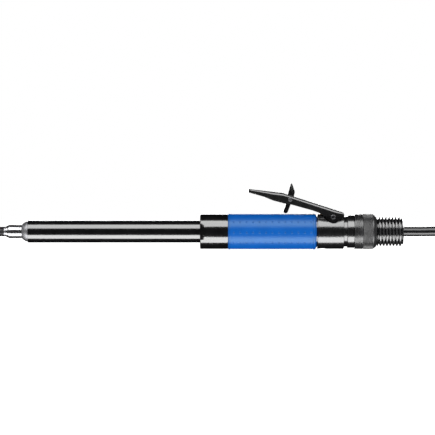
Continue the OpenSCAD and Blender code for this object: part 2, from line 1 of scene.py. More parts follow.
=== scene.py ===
"""Visual model of an in-line pneumatic rivet gun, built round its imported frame.

Lengths are in millimetres in the classes and in metres in the meshes. The
nose points to -X, the hose leaves to +X, the lever is on top (+Z), and the
origin is on the axis at the barrel's front end.
"""

import json
import logging
import math
from dataclasses import dataclass, field
from enum import Enum
from typing import Iterable, Optional, Sequence, Union

import bmesh
import bpy
from mathutils import Matrix, Vector

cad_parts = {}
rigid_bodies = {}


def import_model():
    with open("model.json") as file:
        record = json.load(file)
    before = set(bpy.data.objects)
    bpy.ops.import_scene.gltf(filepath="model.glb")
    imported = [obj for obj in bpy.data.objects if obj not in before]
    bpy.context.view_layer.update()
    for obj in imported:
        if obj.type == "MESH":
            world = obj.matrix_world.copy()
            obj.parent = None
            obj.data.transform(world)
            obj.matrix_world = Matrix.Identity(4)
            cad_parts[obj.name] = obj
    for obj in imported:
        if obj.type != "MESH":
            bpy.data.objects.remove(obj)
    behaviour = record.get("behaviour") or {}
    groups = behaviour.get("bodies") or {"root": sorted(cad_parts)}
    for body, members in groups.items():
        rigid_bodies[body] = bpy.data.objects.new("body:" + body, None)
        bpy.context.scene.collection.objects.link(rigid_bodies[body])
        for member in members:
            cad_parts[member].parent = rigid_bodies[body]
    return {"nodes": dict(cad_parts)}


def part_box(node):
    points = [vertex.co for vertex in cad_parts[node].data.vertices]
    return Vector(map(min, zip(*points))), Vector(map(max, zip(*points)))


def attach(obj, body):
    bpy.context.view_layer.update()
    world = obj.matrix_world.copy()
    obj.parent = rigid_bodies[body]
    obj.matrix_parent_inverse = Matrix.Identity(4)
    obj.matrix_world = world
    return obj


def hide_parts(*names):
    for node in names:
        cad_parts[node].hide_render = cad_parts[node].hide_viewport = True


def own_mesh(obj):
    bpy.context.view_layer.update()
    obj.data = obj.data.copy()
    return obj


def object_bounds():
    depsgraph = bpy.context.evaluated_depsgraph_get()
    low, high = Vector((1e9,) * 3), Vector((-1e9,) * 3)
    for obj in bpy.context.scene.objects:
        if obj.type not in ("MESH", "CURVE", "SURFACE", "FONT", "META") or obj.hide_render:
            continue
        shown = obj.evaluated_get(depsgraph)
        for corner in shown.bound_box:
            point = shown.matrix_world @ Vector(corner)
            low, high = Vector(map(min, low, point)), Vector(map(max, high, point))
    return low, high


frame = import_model()
CAD_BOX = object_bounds()

MM = 0.001
SHARP_DEG = 32.0
# Mesh mark for the second tone: bare metal on steel edges and crests, painted shade on the
# grip's pips and lip edges.
WEAR_AND_SHADE = "wear_and_shade_amount"

Point = Sequence[float]
Colour = tuple[float, float, float]
log = logging.getLogger("rivet_gun")


class Body(str, Enum):
    """The bodies of the frame that new pieces ride on."""

    ROOT = "root"
    SET = "set"
    LEVER = "lever"
    LATCH = "latch"
    REGULATOR = "regulator"


class Slot(str, Enum):
    """The record's material slots."""

    BLACK_STEEL = "black_steel"
    LEVER_BLACK = "lever_black"
    DARK_STEEL = "dark_steel"
    CHROME = "chrome_sleeve"
    SATIN_STEEL = "satin_steel"
    INNER_STEEL = "inner_steel"
    KNURLED = "knurled_grey"
    RIDGED = "ridged_black"
    TAIL = "tail_black"
    GRIP = "grip_blue"
    BRONZE = "bronze"
    BRASS = "brass_fitting"
    SEAL = "seal_rubber"
    HOSE = "hose_rubber"
    PIN = "pin_steel"
    SPRING = "spring_steel"
    PLATED = "plated_steel"
    STRAP = "strap_black"


class Stud(Enum):
    """Shapes that stand in rows on a round part."""

    DOME = "dome"
    PYRAMID = "pyramid"


# Node trees ----------------------------------------------------------------


class Graph:
    """Adds nodes to one shader or geometry tree and joins them."""

    def __init__(self, tree: bpy.types.NodeTree) -> None:
        """Keeps the tree that the nodes go in.

        Args:
            tree: The shader or geometry tree.
        """
        self.tree = tree

    def node(self, kind: str, *inputs: object, **settings: object) -> bpy.types.Node:
        """Adds a node.

        Args:
            kind: The node's type name.
            inputs: A value or an output socket for each input in turn, or
                None to leave one alone.
            settings: The node's own properties.

        Returns:
            The new node.
        """
        made = self.tree.nodes.new(kind)
        for key, value in settings.items():
            setattr(made, key, value)
        for socket, value in zip([s for s in made.inputs if s.enabled], inputs):
            self.put(socket, value)
        return made

    def put(self, socket: bpy.types.NodeSocket, value: object) -> None:
        """Sets a socket to a value, or joins it to an output socket."""
        if isinstance(value, bpy.types.NodeSocket):
            self.tree.links.new(value, socket)
        elif value is not None:
            socket.default_value = value

    def sum(self, kind: str, *inputs: object) -> bpy.types.NodeSocket:
        """Adds a Math node of that operation and returns its result."""
        return self.node("ShaderNodeMath", *inputs, operation=kind).outputs[0]

    def ramp(
        self, value: object, low: object, high: object, start: object, end: object,
        kind: str = "LINEAR",
    ) -> bpy.types.NodeSocket:
        """Maps a value from one range to another, held at its ends.

        Args:
            value: The value to map.
            low: Where the first range starts.
            high: Where the first range ends.
            start: The result at low.
            end: The result at high.
            kind: The interpolation type.

        Returns:
            The mapped value.
        """
        made = self.node(
            "ShaderNodeMapRange", value, low, high, start, end,
            interpolation_type=kind,
        )
        return made.outputs[0]


# Finishes --------------------------------------------------------------------


@dataclass(frozen=True)
class Finish:
    """A finish with a varied colour, a grain, and a second tone where marked.

    The second tone lies on rounded edges, ridges and studs: bare metal on steel,
    and on the grip a darker blue on the pips and the lip's rounded edges, painted
    shade that stands in for the pips' dark dots.

    Sizes of patches and grain are in millimetres.
    """

    name: str
    slot: Slot
    base: Colour
    rough: tuple[float, float] = (0.3, 0.4)
    metallic: float = 0.0
    tint: float = 0.12
    patch: float = 9.0
    grain: tuple[float, float, float] = (0.5, 0.5, 0.5)
    depth: float = 0.002
    coat: float = 0.0
    coat_rough: float = 0.08
    ior: float = 1.5
    gloss_tint: Colour = (1.0, 1.0, 1.0)
    # The second tone and how far it covers: bare metal on steel, painted shade in darker
    # blue on the grip.
    wear_and_shade: Optional[Colour] = None
    wear_and_shade_amount: float = 0.5

    def material(self) -> bpy.types.Material:
        """Returns this finish's material, made at its first use."""
        found = bpy.data.materials.get(self.name)
        return found or self._build()

    def _build(self) -> bpy.types.Material:
        """Builds the material.

        Returns:
            The new material.
        """
        made = bpy.data.materials.new(self.name)
        made.use_nodes = True
        made.diffuse_color = (*self.base, 1.0)
        graph = Graph(made.node_tree)
        shader = made.node_tree.nodes["Principled BSDF"]
        place = graph.node("ShaderNodeTexCoord").outputs["Object"]
        patches = self._noise(graph, place, (self.patch,) * 3, 3.0)
        grain = self._grain(graph, place)
        low, high = self.rough
        colour = self._colour(graph, patches, grain)
        rough = graph.ramp(
            graph.sum("ADD", patches, grain), 0.7, 1.3, low, high
        )
        # Mixes in the second tone: bare metal on steel edges, painted shade on the grip's
        # pips and lip edges.
        if self.wear_and_shade:
            wear_and_shade_mask = self._wear_and_shade_mask(graph, grain)
            mix = graph.node("ShaderNodeMix", data_type="RGBA")
            graph.put(mix.inputs["Factor"], wear_and_shade_mask)
            graph.put(mix.inputs["A"], colour)
            graph.put(mix.inputs["B"], (*self.wear_and_shade, 1.0))
            colour = mix.outputs["Result"]
        graph.put(shader.inputs["Base Color"], colour)
        graph.put(shader.inputs["Roughness"], rough)
        shader.inputs["Metallic"].default_value = self.metallic
        shader.inputs["IOR"].default_value = self.ior
        shader.inputs["Specular Tint"].default_value = (*self.gloss_tint, 1.0)
        shader.inputs["Coat Weight"].default_value = self.coat
        shader.inputs["Coat Roughness"].default_value = self.coat_rough
        bump = graph.node("ShaderNodeBump")
        bump.inputs["Strength"].default_value = 1.0
        bump.inputs["Distance"].default_value = self.depth * MM
        graph.put(bump.inputs["Height"], grain)
        graph.put(shader.inputs["Normal"], bump.outputs["Normal"])
        return made

    def _noise(
        self, graph: Graph, place: bpy.types.NodeSocket, size: Point, detail: float
    ) -> bpy.types.NodeSocket:
        """Noise with features of a given size along X, Y and Z.

        Args:
            graph: The material's graph.
            place: The coordinates that it reads.
            size: The size of a feature along each axis, in millimetres.
            detail: The noise's detail.

        Returns:
            The noise's value.
        """
        stretch = graph.node("ShaderNodeMapping")
        graph.put(stretch.inputs["Vector"], place)
        stretch.inputs["Scale"].default_value = [1 / (s * MM) for s in size]
        made = graph.node("ShaderNodeTexNoise")
        graph.put(made.inputs["Vector"], stretch.outputs["Vector"])
        made.inputs["Scale"].default_value = 1.0
        made.inputs["Detail"].default_value = detail
        return made.outputs[0]

    def _grain(
        self, graph: Graph, place: bpy.types.NodeSocket
    ) -> bpy.types.NodeSocket:
        """Returns the fine grain that the roughness and the bump follow."""
        return self._noise(graph, place, self.grain, 2.0)

    def _colour(
        self, graph: Graph, patches: bpy.types.NodeSocket,
        grain: bpy.types.NodeSocket,
    ) -> bpy.types.NodeSocket:
        """The base colour, a little lighter and darker in patches.

        Args:
            graph: The material's graph.
            patches: The large noise.
            grain: The fine grain.

        Returns:
            The varied colour.
        """
        both = graph.sum("ADD", patches, graph.sum("MULTIPLY", grain, 0.4))
        mix = graph.node("ShaderNodeMix", data_type="RGBA")
        graph.put(mix.inputs["Factor"], graph.ramp(both, 0.5, 0.9, 0.0, 1.0))
        for side, amount in (("A", 1 - self.tint), ("B", 1 + self.tint)):
            mix.inputs[side].default_value = (
                *(min(c * amount, 1.0) for c in self.base), 1.0
            )
        return mix.outputs["Result"]

    def _wear_and_shade_mask(
        self, graph: Graph, grain: bpy.types.NodeSocket
    ) -> bpy.types.NodeSocket:
        """Returns how far the second tone covers the base colour."""
        # Reads the second-tone mark, which is painted shade on the grip and bare metal on
        # steel.
        edge = graph.node("ShaderNodeAttribute", attribute_name=WEAR_AND_SHADE)
        uneven = graph.ramp(grain, 0.4, 0.62, 0.25, 1.0)
        wear_and_shade = graph.sum("MULTIPLY", edge.outputs["Fac"], uneven)
        return graph.sum("MULTIPLY", wear_and_shade, self.wear_and_shade_amount)


@dataclass(frozen=True)
class Turned(Finish):
    """A metal finish with fine lines round the axis, left by the lathe."""

    grain: tuple[float, float, float] = (0.35, 40.0, 40.0)


@dataclass(frozen=True)
class Woven(Finish):
    """A woven strap: two sets of threads that cross."""

    thread: float = 0.7

    def _grain(
        self, graph: Graph, place: bpy.types.NodeSocket
    ) -> bpy.types.NodeSocket:
        """Returns the height of the crossing threads."""
        split = graph.node("ShaderNodeSeparateXYZ", place)
        turn = 2 * math.pi / (self.thread * MM)
        along = graph.sum("SINE", graph.sum("MULTIPLY", split.outputs[0], turn))
        run = graph.sum("ADD", split.outputs[1], split.outputs[2])
        across = graph.sum("SINE", graph.sum("MULTIPLY", run, turn))
        weave = graph.sum("MULTIPLY", along, across)
        return graph.ramp(weave, -1.0, 1.0, 0.2, 0.8)


GREY_EDGE = (0.05, 0.05, 0.052)

BLACK_STEEL = Turned(
    "black_oxide_steel", Slot.BLACK_STEEL, (0.0025, 0.0025, 0.0028), (0.13, 0.19),
    ior=2.0, coat=0.6, coat_rough=0.1, depth=0.0006, wear_and_shade=GREY_EDGE, wear_and_shade_amount=0.35,
)
VALVE_BLACK = Turned(
    "black_valve_body", Slot.BLACK_STEEL, (0.003, 0.003, 0.0033), (0.17, 0.25),
    ior=2.0, coat=0.6, coat_rough=0.16, depth=0.0008, wear_and_shade=GREY_EDGE, wear_and_shade_amount=0.35,
)
LEVER_BLACK = Finish(
    "black_lever_paint", Slot.LEVER_BLACK, (0.004, 0.004, 0.0044), (0.2, 0.28),
    ior=1.9, coat=0.5, coat_rough=0.18, depth=0.0012, wear_and_shade=GREY_EDGE, wear_and_shade_amount=0.5,
)
DARK_STEEL = Finish(
    "phosphated_tool_steel", Slot.DARK_STEEL, (0.12, 0.12, 0.125), (0.3, 0.46),
    metallic=1.0, tint=0.35, patch=2.2, grain=(0.4, 0.4, 0.4), depth=0.01,
    wear_and_shade=(0.5, 0.5, 0.52), wear_and_shade_amount=0.8,
)
CHROME = Turned(
    "polished_chrome", Slot.CHROME, (0.42, 0.42, 0.43), (0.2, 0.28), metallic=1.0,
    tint=0.05, depth=0.0008,
)
SATIN_STEEL = Turned(
    "satin_turned_steel", Slot.SATIN_STEEL, (0.27, 0.27, 0.28), (0.46, 0.56),
    metallic=1.0, tint=0.08, grain=(0.25, 30.0, 30.0), depth=0.002,
)
INNER_STEEL = Turned(
    "ground_inner_steel", Slot.INNER_STEEL, (0.5, 0.5, 0.52), (0.22, 0.34),
    metallic=1.0, tint=0.1, depth=0.0015,
)
KNURLED = Finish(
    "matte_knurled_grey", Slot.KNURLED, (0.012, 0.012, 0.0125), (0.26, 0.34),
    tint=0.1, patch=3.0, depth=0.0005, ior=1.8, wear_and_shade=(0.04, 0.04, 0.042), wear_and_shade_amount=0.5,
)
RIDGED = Turned(
    "ridged_black_oxide", Slot.RIDGED, (0.006, 0.006, 0.0066), (0.22, 0.32),
    ior=2.0, coat=0.3, coat_rough=0.2, depth=0.001, wear_and_shade=(0.06, 0.06, 0.063),
    wear_and_shade_amount=0.5,
)
TAIL_BLACK = Finish(
    "black_threaded_tail", Slot.TAIL, (0.005, 0.005, 0.0055), (0.17, 0.26),
    ior=1.95, coat=0.5, coat_rough=0.14, depth=0.0015, wear_and_shade=GREY_EDGE, wear_and_shade_amount=0.4,
)
# The darker blue second tone is painted shade: it darkens the pips' tops and the lip's
# rounded edges to stand in for the pips' dark dots.
GRIP_BLUE = Finish(
    "moulded_blue_grip", Slot.GRIP, (0.0, 0.06, 0.27), (0.3, 0.36),
    tint=0.06, patch=14.0, grain=(0.6, 0.6, 0.6), depth=0.004, ior=1.48,
    gloss_tint=(0.66, 1.0, 1.0), wear_and_shade=(0.0, 0.03, 0.14), wear_and_shade_amount=0.85,
)
BRONZE = Turned(
    "bearing_bronze", Slot.BRONZE, (0.55, 0.36, 0.17), (0.3, 0.42), metallic=1.0,
    tint=0.18, patch=4.0, depth=0.002,
)
BRASS = Turned(
    "fitting_brass", Slot.BRASS, (0.7, 0.55, 0.25), (0.2, 0.34), metallic=1.0,
    tint=0.12, patch=5.0, depth=0.0015,
)
SEAL = Finish(
    "seal_rubber", Slot.SEAL, (0.02, 0.02, 0.02), (0.5, 0.64), tint=0.3,
    patch=2.0, depth=0.006,
)
HOSE_SKIN = Finish(
    "gloss_hose_skin", Slot.HOSE, (0.004, 0.004, 0.0045), (0.2, 0.28), tint=0.15,
    patch=12.0, grain=(1.2, 1.2, 1.2), depth=0.004, ior=1.65,
)
PIN_STEEL = Turned(
    "drawn_pin_steel", Slot.PIN, (0.2, 0.2, 0.21), (0.34, 0.46), metallic=1.0,
    grain=(0.4, 30.0, 0.4), tint=0.15, depth=0.0015,
)
SPRING = Finish(
    "spring_wire", Slot.SPRING, (0.6, 0.6, 0.62), (0.18, 0.3), metallic=1.0,
    tint=0.12, patch=1.5, grain=(0.3, 0.3, 0.3), depth=0.002,
)
PLATED = Turned(
    "zinc_plated_steel", Slot.PLATED, (0.36, 0.36, 0.38), (0.3, 0.42),
    metallic=1.0, tint=0.1, patch=3.5, grain=(0.4, 20.0, 20.0), depth=0.0015,
)
SINTERED = Finish(
    "sintered_bronze", Slot.BRONZE, (0.42, 0.29, 0.15), (0.55, 0.75),
    metallic=1.0, tint=0.45, patch=0.6, grain=(0.5, 0.5, 0.5), depth=0.12,
)
STRAP = Woven(
    "woven_black_strap", Slot.STRAP, (0.022, 0.022, 0.025), (0.75, 0.9),
    tint=0.5, patch=6.0, depth=0.25,
)


# Mesh making -----------------------------------------------------------------


def dress(name: str, finish: Finish) -> bpy.types.Object:
    """Gives a frame node its finish, in its own material slots.

    Args:
        name: The frame node.
        finish: The finish that it takes.

    Returns:
        The node's object.
    """
    node = frame["nodes"][name]
    for slot in node.material_slots:
        slot.material = finish.material()
    log.info("%s keeps its frame shape, in %s", name, finish.name)
    return node


def span(name: str) -> tuple[float, float]:
    """Returns a node's first and last station along X, in millimetres."""
    low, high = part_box(name)
    return low.x / MM, high.x / MM


def filleted(outline: Sequence[Point], closed: bool, steps: int = 4) -> list[Point]:
    """Rounds the corners of an outline.

    Args:
        outline: Points of [x, radius], with a third number where the corner
            is rounded to that radius.
        closed: True where the last point is joined to the first.
        steps: The number of edges in each rounded corner.

    Returns:
        Points of (x, radius, mark), where the mark is 1 inside rounded corners; it sets
        the second tone there, painted shade on the grip's lip.
    """
    made: list[Point] = []
    count = len(outline)
    for i, point in enumerate(outline):
        here = Vector(point[:2])
        at_end = not closed and i in (0, count - 1)
        if len(point) < 3 or at_end:
            made.append((here.x, here.y, 0.0))
            continue
        before = (Vector(outline[i - 1][:2]) - here)
        after = (Vector(outline[(i + 1) % count][:2]) - here)
        reach = min(point[2], before.length * 0.45, after.length * 0.45)
        first = here + before.normalized() * reach
        last = here + after.normalized() * reach
        for k in range(steps + 1):
            t = k / steps
            at = first * (1 - t) ** 2 + here * 2 * t * (1 - t) + last * t**2
            made.append((at.x, at.y, 1.0 if 0 < k < steps else 0.0))
    return made


def revolved(
    outline: Sequence[Point], closed: bool = True, segments: int = 128,
    offset: Point = (0.0, 0.0, 0.0),
) -> bmesh.types.BMesh:
    """Turns an outline round the X axis.

    Args:
        outline: Points of (x, radius, mark), in millimetres, where the mark sets the
            second tone.
        closed: True for a ring with a bore, and False for a solid whose
            outline starts and ends on the axis.
        segments: The number of steps round the axis.
        offset: Where the axis starts, in millimetres.

    Returns:
        The mesh, in metres.
    """
    made = bmesh.new()
    wear_and_shade = made.verts.layers.float.new(WEAR_AND_SHADE)
    base = Vector(offset)
    rings = []
    for x, r, wear_and_shade_mask in outline:
        steps = segments if r > 1e-6 else 1
        ring = []
        for k in range(steps):
            a = 2 * math.pi * k / segments
            at = base + Vector((x, r * math.cos(a), r * math.sin(a)))
            vert = made.verts.new(at * MM)
            vert[wear_and_shade] = wear_and_shade_mask
            ring.append(vert)
        rings.append(ring)
    last = len(rings) if closed else len(rings) - 1
    for i in range(last):
        one, two = rings[i], rings[(i + 1) % len(rings)]
        for k in range(segments):
            n = (k + 1) % segments
            if len(one) == 1 and len(two) > 1:
                made.faces.new((one[0], two[n], two[k]))
            elif len(two) == 1 and len(one) > 1:
                made.faces.new((one[k], one[n], two[0]))
            elif len(one) > 1:
                made.faces.new((one[k], one[n], two[n], two[k]))
    bmesh.ops.recalc_face_normals(made, faces=made.faces)
    return made


def piece(
    name: str, shape: Union[bmesh.types.BMesh, bpy.types.Mesh], finish: Finish
) -> bpy.types.Object:
    """Makes an object of a mesh, smooth but for its sharp edges.

    Args:
        name: The piece's name.
        shape: The mesh, or the bmesh that it is made of.
        finish: The finish that it takes.

    Returns:
        The object, in the scene.
    """
    if isinstance(shape, bmesh.types.BMesh):
        mesh = bpy.data.meshes.new(name)
        shape.to_mesh(mesh)
        shape.free()
    else:
        mesh = shape
        mesh.name = name
    mesh.shade_smooth()
    mesh.set_sharp_from_angle(angle=math.radians(SHARP_DEG))
    mesh.materials.clear()
    mesh.materials.append(finish.material())
    made = bpy.data.objects.new(name, mesh)
    bpy.context.scene.collection.objects.link(made)
    return made


def settle(
    made: bpy.types.Object, finish: Finish, body: Body, *nodes: str
) -> bpy.types.Object:
    """Puts a piece on its body, in place of the frame nodes it stands for.

    Args:
        made: The piece.
        finish: The finish that the log line names.
        body: The body that it rides on.
        nodes: The frame nodes that it replaces.

    Returns:
        The same piece.
    """
    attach(made, body.value)
    if nodes:
        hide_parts(*nodes)
    log.info("%s stands for %s, in %s", made.name, ", ".join(nodes), finish.name)
    return made


def baked(made: bpy.types.Object, finish: Finish) -> bpy.types.Object:
    """Turns a piece's modifiers into plain mesh.

    Args:
        made: The piece with its modifiers, which is removed.
        finish: The finish that the plain piece takes.

    Returns:
        The plain piece, with the same name.
    """
    name = made.name
    view = bpy.context.evaluated_depsgraph_get()
    mesh = bpy.data.meshes.new_from_object(made.evaluated_get(view))
    bpy.data.objects.remove(made)
    return piece(name, mesh, finish)


def mark_worn(shape: bmesh.types.BMesh, width: float) -> None:
    """Marks the middle of a mesh's rounded edges, where the finish wears through.

    Args:
        shape: The mesh.
        width: The width of its rounded edges, in millimetres.
    """
    wear_and_shade = shape.verts.layers.float.get(WEAR_AND_SHADE) or shape.verts.layers.float.new(WEAR_AND_SHADE)
    for vert in shape.verts:
        narrow = all(
            2 * face.calc_area() < width * MM * face.calc_perimeter()
            for face in vert.link_faces
        )
        vert[wear_and_shade] = 1.0 if narrow else 0.0


def slab(
    side: Sequence[Point], y0: float, y1: float, base: Vector
) -> bmesh.types.BMesh:
    """A side outline made thick along Y.

    Args:
        side: Points of (x, z) round the outline, in millimetres.
        y0: Where it starts along Y.
        y1: Where it ends along Y.
        base: The point that they are measured from.

    Returns:
        The mesh, in metres.
    """
    made = bmesh.new()
    rings = [
        [made.verts.new((base + Vector((x, y, z))) * MM) for x, z in side]
        for y in (y0, y1)
    ]
    count = len(side)
    for k in range(count):
        n = (k + 1) % count
        made.faces.new((rings[0][k], rings[0][n], rings[1][n], rings[1][k]))
    for ring in rings:
        made.faces.new(ring)
    bmesh.ops.recalc_face_normals(made, faces=made.faces)
    return made


def cut(
    made: bpy.types.Object, finish: Finish, cutters: list[bmesh.types.BMesh]
) -> bpy.types.Object:
    """Cuts shapes out of a piece.

    Args:
        made: The piece.
        finish: The finish that it keeps.
        cutters: The shapes to cut out.

    Returns:
        The cut piece, as plain mesh.
    """
    tools = []
    for i, shape in enumerate(cutters):
        tool = piece(f"cutter_{i}", shape, finish)
        step = made.modifiers.new(tool.name, "BOOLEAN")
        step.operation, step.solver, step.object = "DIFFERENCE", "EXACT", tool
        tools.append(tool)
    made = baked(made, finish)
    for tool in tools:
        bpy.data.objects.remove(tool)
    return made


def softened(
    made: bpy.types.Object, finish: Finish, width: float
) -> bpy.types.Object:
    """Rounds a piece's sharp edges and marks them where the finish wears through.

    Args:
        made: The piece.
        finish: The finish that it keeps.
        width: The width of its rounded edges, in millimetres.

    Returns:
        The rounded piece, as plain mesh.
    """
    rounding = made.modifiers.new("rounded_edges", "BEVEL")
    rounding.width = width * MM
    rounding.segments = 2
    rounding.limit_method = "ANGLE"
    rounding.angle_limit = math.radians(SHARP_DEG)
    rounding.use_clamp_overlap = True
    made = baked(made, finish)
    shape = bmesh.new()
    shape.from_mesh(made.data)
    mark_worn(shape, width)
    shape.to_mesh(made.data)
    shape.free()
    made.data.set_sharp_from_angle(angle=math.radians(SHARP_DEG + 8))
    return made


def refined(name: str, node: str, finish: Finish, width: float) -> bpy.types.Object:
    """Copies a frame node as one clean mesh with rounded edges.

    Args:
        name: The new piece's name.
        node: The frame node that it is copied from.
        finish: The finish that it takes.
        width: The width of its rounded edges, in millimetres.

    Returns:
        The new piece.
    """
    shape = bmesh.new()
    shape.from_mesh(frame["nodes"][node].data)
    bmesh.ops.remove_doubles(shape, verts=shape.verts, dist=0.004 * MM)
    bmesh.ops.dissolve_degenerate(shape, edges=shape.edges, dist=0.004 * MM)
    bmesh.ops.dissolve_limit(
        shape, verts=shape.verts, edges=shape.edges, angle_limit=math.radians(0.4)
    )
    return softened(piece(name, shape, finish), finish, width)


# Geometry trees ----------------------------------------------------------------


class GeometryTree:
    """A geometry node tree with named inputs, run once on a piece."""

    def __init__(self, name: str, sizes: dict[str, str]) -> None:
        """Makes an empty tree.

        Args:
            name: The tree's name.
            sizes: The name and the kind of each input, FLOAT or INT.
        """
        self.tree = bpy.data.node_groups.new(name, "GeometryNodeTree")
        self.graph = Graph(self.tree)
        self.ids: dict[str, str] = {}
        face = self.tree.interface
        face.new_socket("Geometry", in_out="INPUT", socket_type="NodeSocketGeometry")
        for label, kind in sizes.items():
            made = face.new_socket(
                label, in_out="INPUT", socket_type=f"NodeSocket{kind}"
            )
            self.ids[label] = made.identifier
        made = face.new_socket(
            "Finish", in_out="INPUT", socket_type="NodeSocketMaterial"
        )
        self.ids["Finish"] = made.identifier
        face.new_socket("Geometry", in_out="OUTPUT", socket_type="NodeSocketGeometry")
        self.given = self.graph.node("NodeGroupInput").outputs

    def close(self, shape: bpy.types.NodeSocket) -> None:
        """Ends the tree in Realize Instances and Set Material.

        Args:
            shape: The geometry that the tree makes.
        """
        real = self.graph.node("GeometryNodeRealizeInstances")
        self.graph.put(real.inputs["Geometry"], shape)
        dressed = self.graph.node("GeometryNodeSetMaterial")
        self.graph.put(dressed.inputs["Geometry"], real.outputs[0])
        self.graph.put(dressed.inputs["Material"], self.given["Finish"])
        self.graph.node("NodeGroupOutput", dressed.outputs[0])

    def run(
        self, made: bpy.types.Object, finish: Finish, **sizes: float
    ) -> bpy.types.Object:
        """Runs the tree on a piece and keeps the result as plain mesh.

        Args:
            made: The piece.
            finish: The finish that the result takes.
            sizes: A value for each input, with _ for a space in its name.

        Returns:
            The plain piece.
        """
        step = made.modifiers.new(self.tree.name, "NODES")
        step.node_group = self.tree
        for label, value in sizes.items():
            step[self.ids[label.replace("_", " ")]] = value
        step[self.ids["Finish"]] = finish.material()
        return baked(made, finish)


class StudRows(GeometryTree):
    """Rows of small studs round a part on the X axis."""

    def __init__(self, stud: Stud) -> None:
        """Builds the tree for one shape of stud.

        Args:
            stud: The shape of the studs.
        """
        super().__init__(
            f"{stud.value}_rows",
            {
                "Along": "Int", "Around": "Int", "Start": "Float",
                "Pitch": "Float", "Radius": "Float", "First Angle": "Float",
                "Stud Radius": "Float", "Stud Height": "Float",
            },
        )
        g, given = self.graph, self.given
        index = g.node("GeometryNodeInputIndex").outputs[0]
        row = g.sum("FLOOR", g.sum("DIVIDE", index, given["Along"]))
        column = g.sum("MODULO", index, given["Along"])
        x = g.sum("ADD", given["Start"], g.sum("MULTIPLY", column, given["Pitch"]))
        step = g.sum("DIVIDE", 2 * math.pi, given["Around"])
        angle = g.sum("ADD", given["First Angle"], g.sum("MULTIPLY", row, step))
        y = g.sum("MULTIPLY", given["Radius"], g.sum("COSINE", angle))
        z = g.sum("MULTIPLY", given["Radius"], g.sum("SINE", angle))
        points = g.node("GeometryNodePoints")
        count = g.sum("MULTIPLY", given["Along"], given["Around"])
        g.put(points.inputs["Count"], count)
        place = g.node("ShaderNodeCombineXYZ", x, y, z)
        g.put(points.inputs["Position"], place.outputs[0])
        tilt = g.sum("SUBTRACT", angle, math.pi / 2)
        turn = g.node("ShaderNodeCombineXYZ", tilt, 0.0, 0.0)
        spread = g.node("GeometryNodeInstanceOnPoints")
        g.put(spread.inputs["Points"], points.outputs[0])
        g.put(spread.inputs["Instance"], self._stud(stud))
        g.put(spread.inputs["Rotation"], turn.outputs[0])
        both = g.node("GeometryNodeJoinGeometry")
        g.put(both.inputs[0], spread.outputs[0])
        g.put(both.inputs[0], given["Geometry"])
        self.close(both.outputs[0])

    def _stud(self, stud: Stud) -> bpy.types.NodeSocket:
        """One stud on the origin, with its top marked for the second tone: painted shade
        on the grip's pips, abraded lighter tops on the knurl.

        Args:
            stud: The shape of the stud.

        Returns:
            The stud's mesh.
        """
        g, given = self.graph, self.given
        wide, tall = given["Stud Radius"], given["Stud Height"]
        if stud is Stud.DOME:
            ball = g.node("GeometryNodeMeshUVSphere", 12, 8, 1.0)
            size = g.node("ShaderNodeCombineXYZ", wide, wide, tall)
            flat = g.node("GeometryNodeTransform")
            g.put(flat.inputs["Geometry"], ball.outputs["Mesh"])
            g.put(flat.inputs["Scale"], size.outputs[0])
            shape = flat.outputs[0]
        else:
            spike = g.node("GeometryNodeMeshCone")
            g.put(spike.inputs["Vertices"], 4)
            g.put(spike.inputs["Radius Top"], g.sum("MULTIPLY", wide, 0.3))
            g.put(spike.inputs["Radius Bottom"], wide)
            g.put(spike.inputs["Depth"], tall)
            square = g.node("GeometryNodeTransform")
            g.put(square.inputs["Geometry"], spike.outputs["Mesh"])
            g.put(square.inputs["Rotation"], (0.0, 0.0, math.pi / 4))
            shape = square.outputs[0]
        height = g.node("ShaderNodeSeparateXYZ")
        g.put(height.inputs[0], g.node("GeometryNodeInputPosition").outputs[0])
        # The top of the stud takes the second tone: painted shade on the grip's pips.
        top = g.ramp(height.outputs[2], g.sum("MULTIPLY", tall, 0.4), tall, 0.0, 1.0)
        marked = g.node("GeometryNodeStoreNamedAttribute", data_type="FLOAT")
        g.put(marked.inputs["Geometry"], shape)
        g.put(marked.inputs["Name"], WEAR_AND_SHADE)
        g.put(marked.inputs["Value"], top)
        return marked.outputs[0]


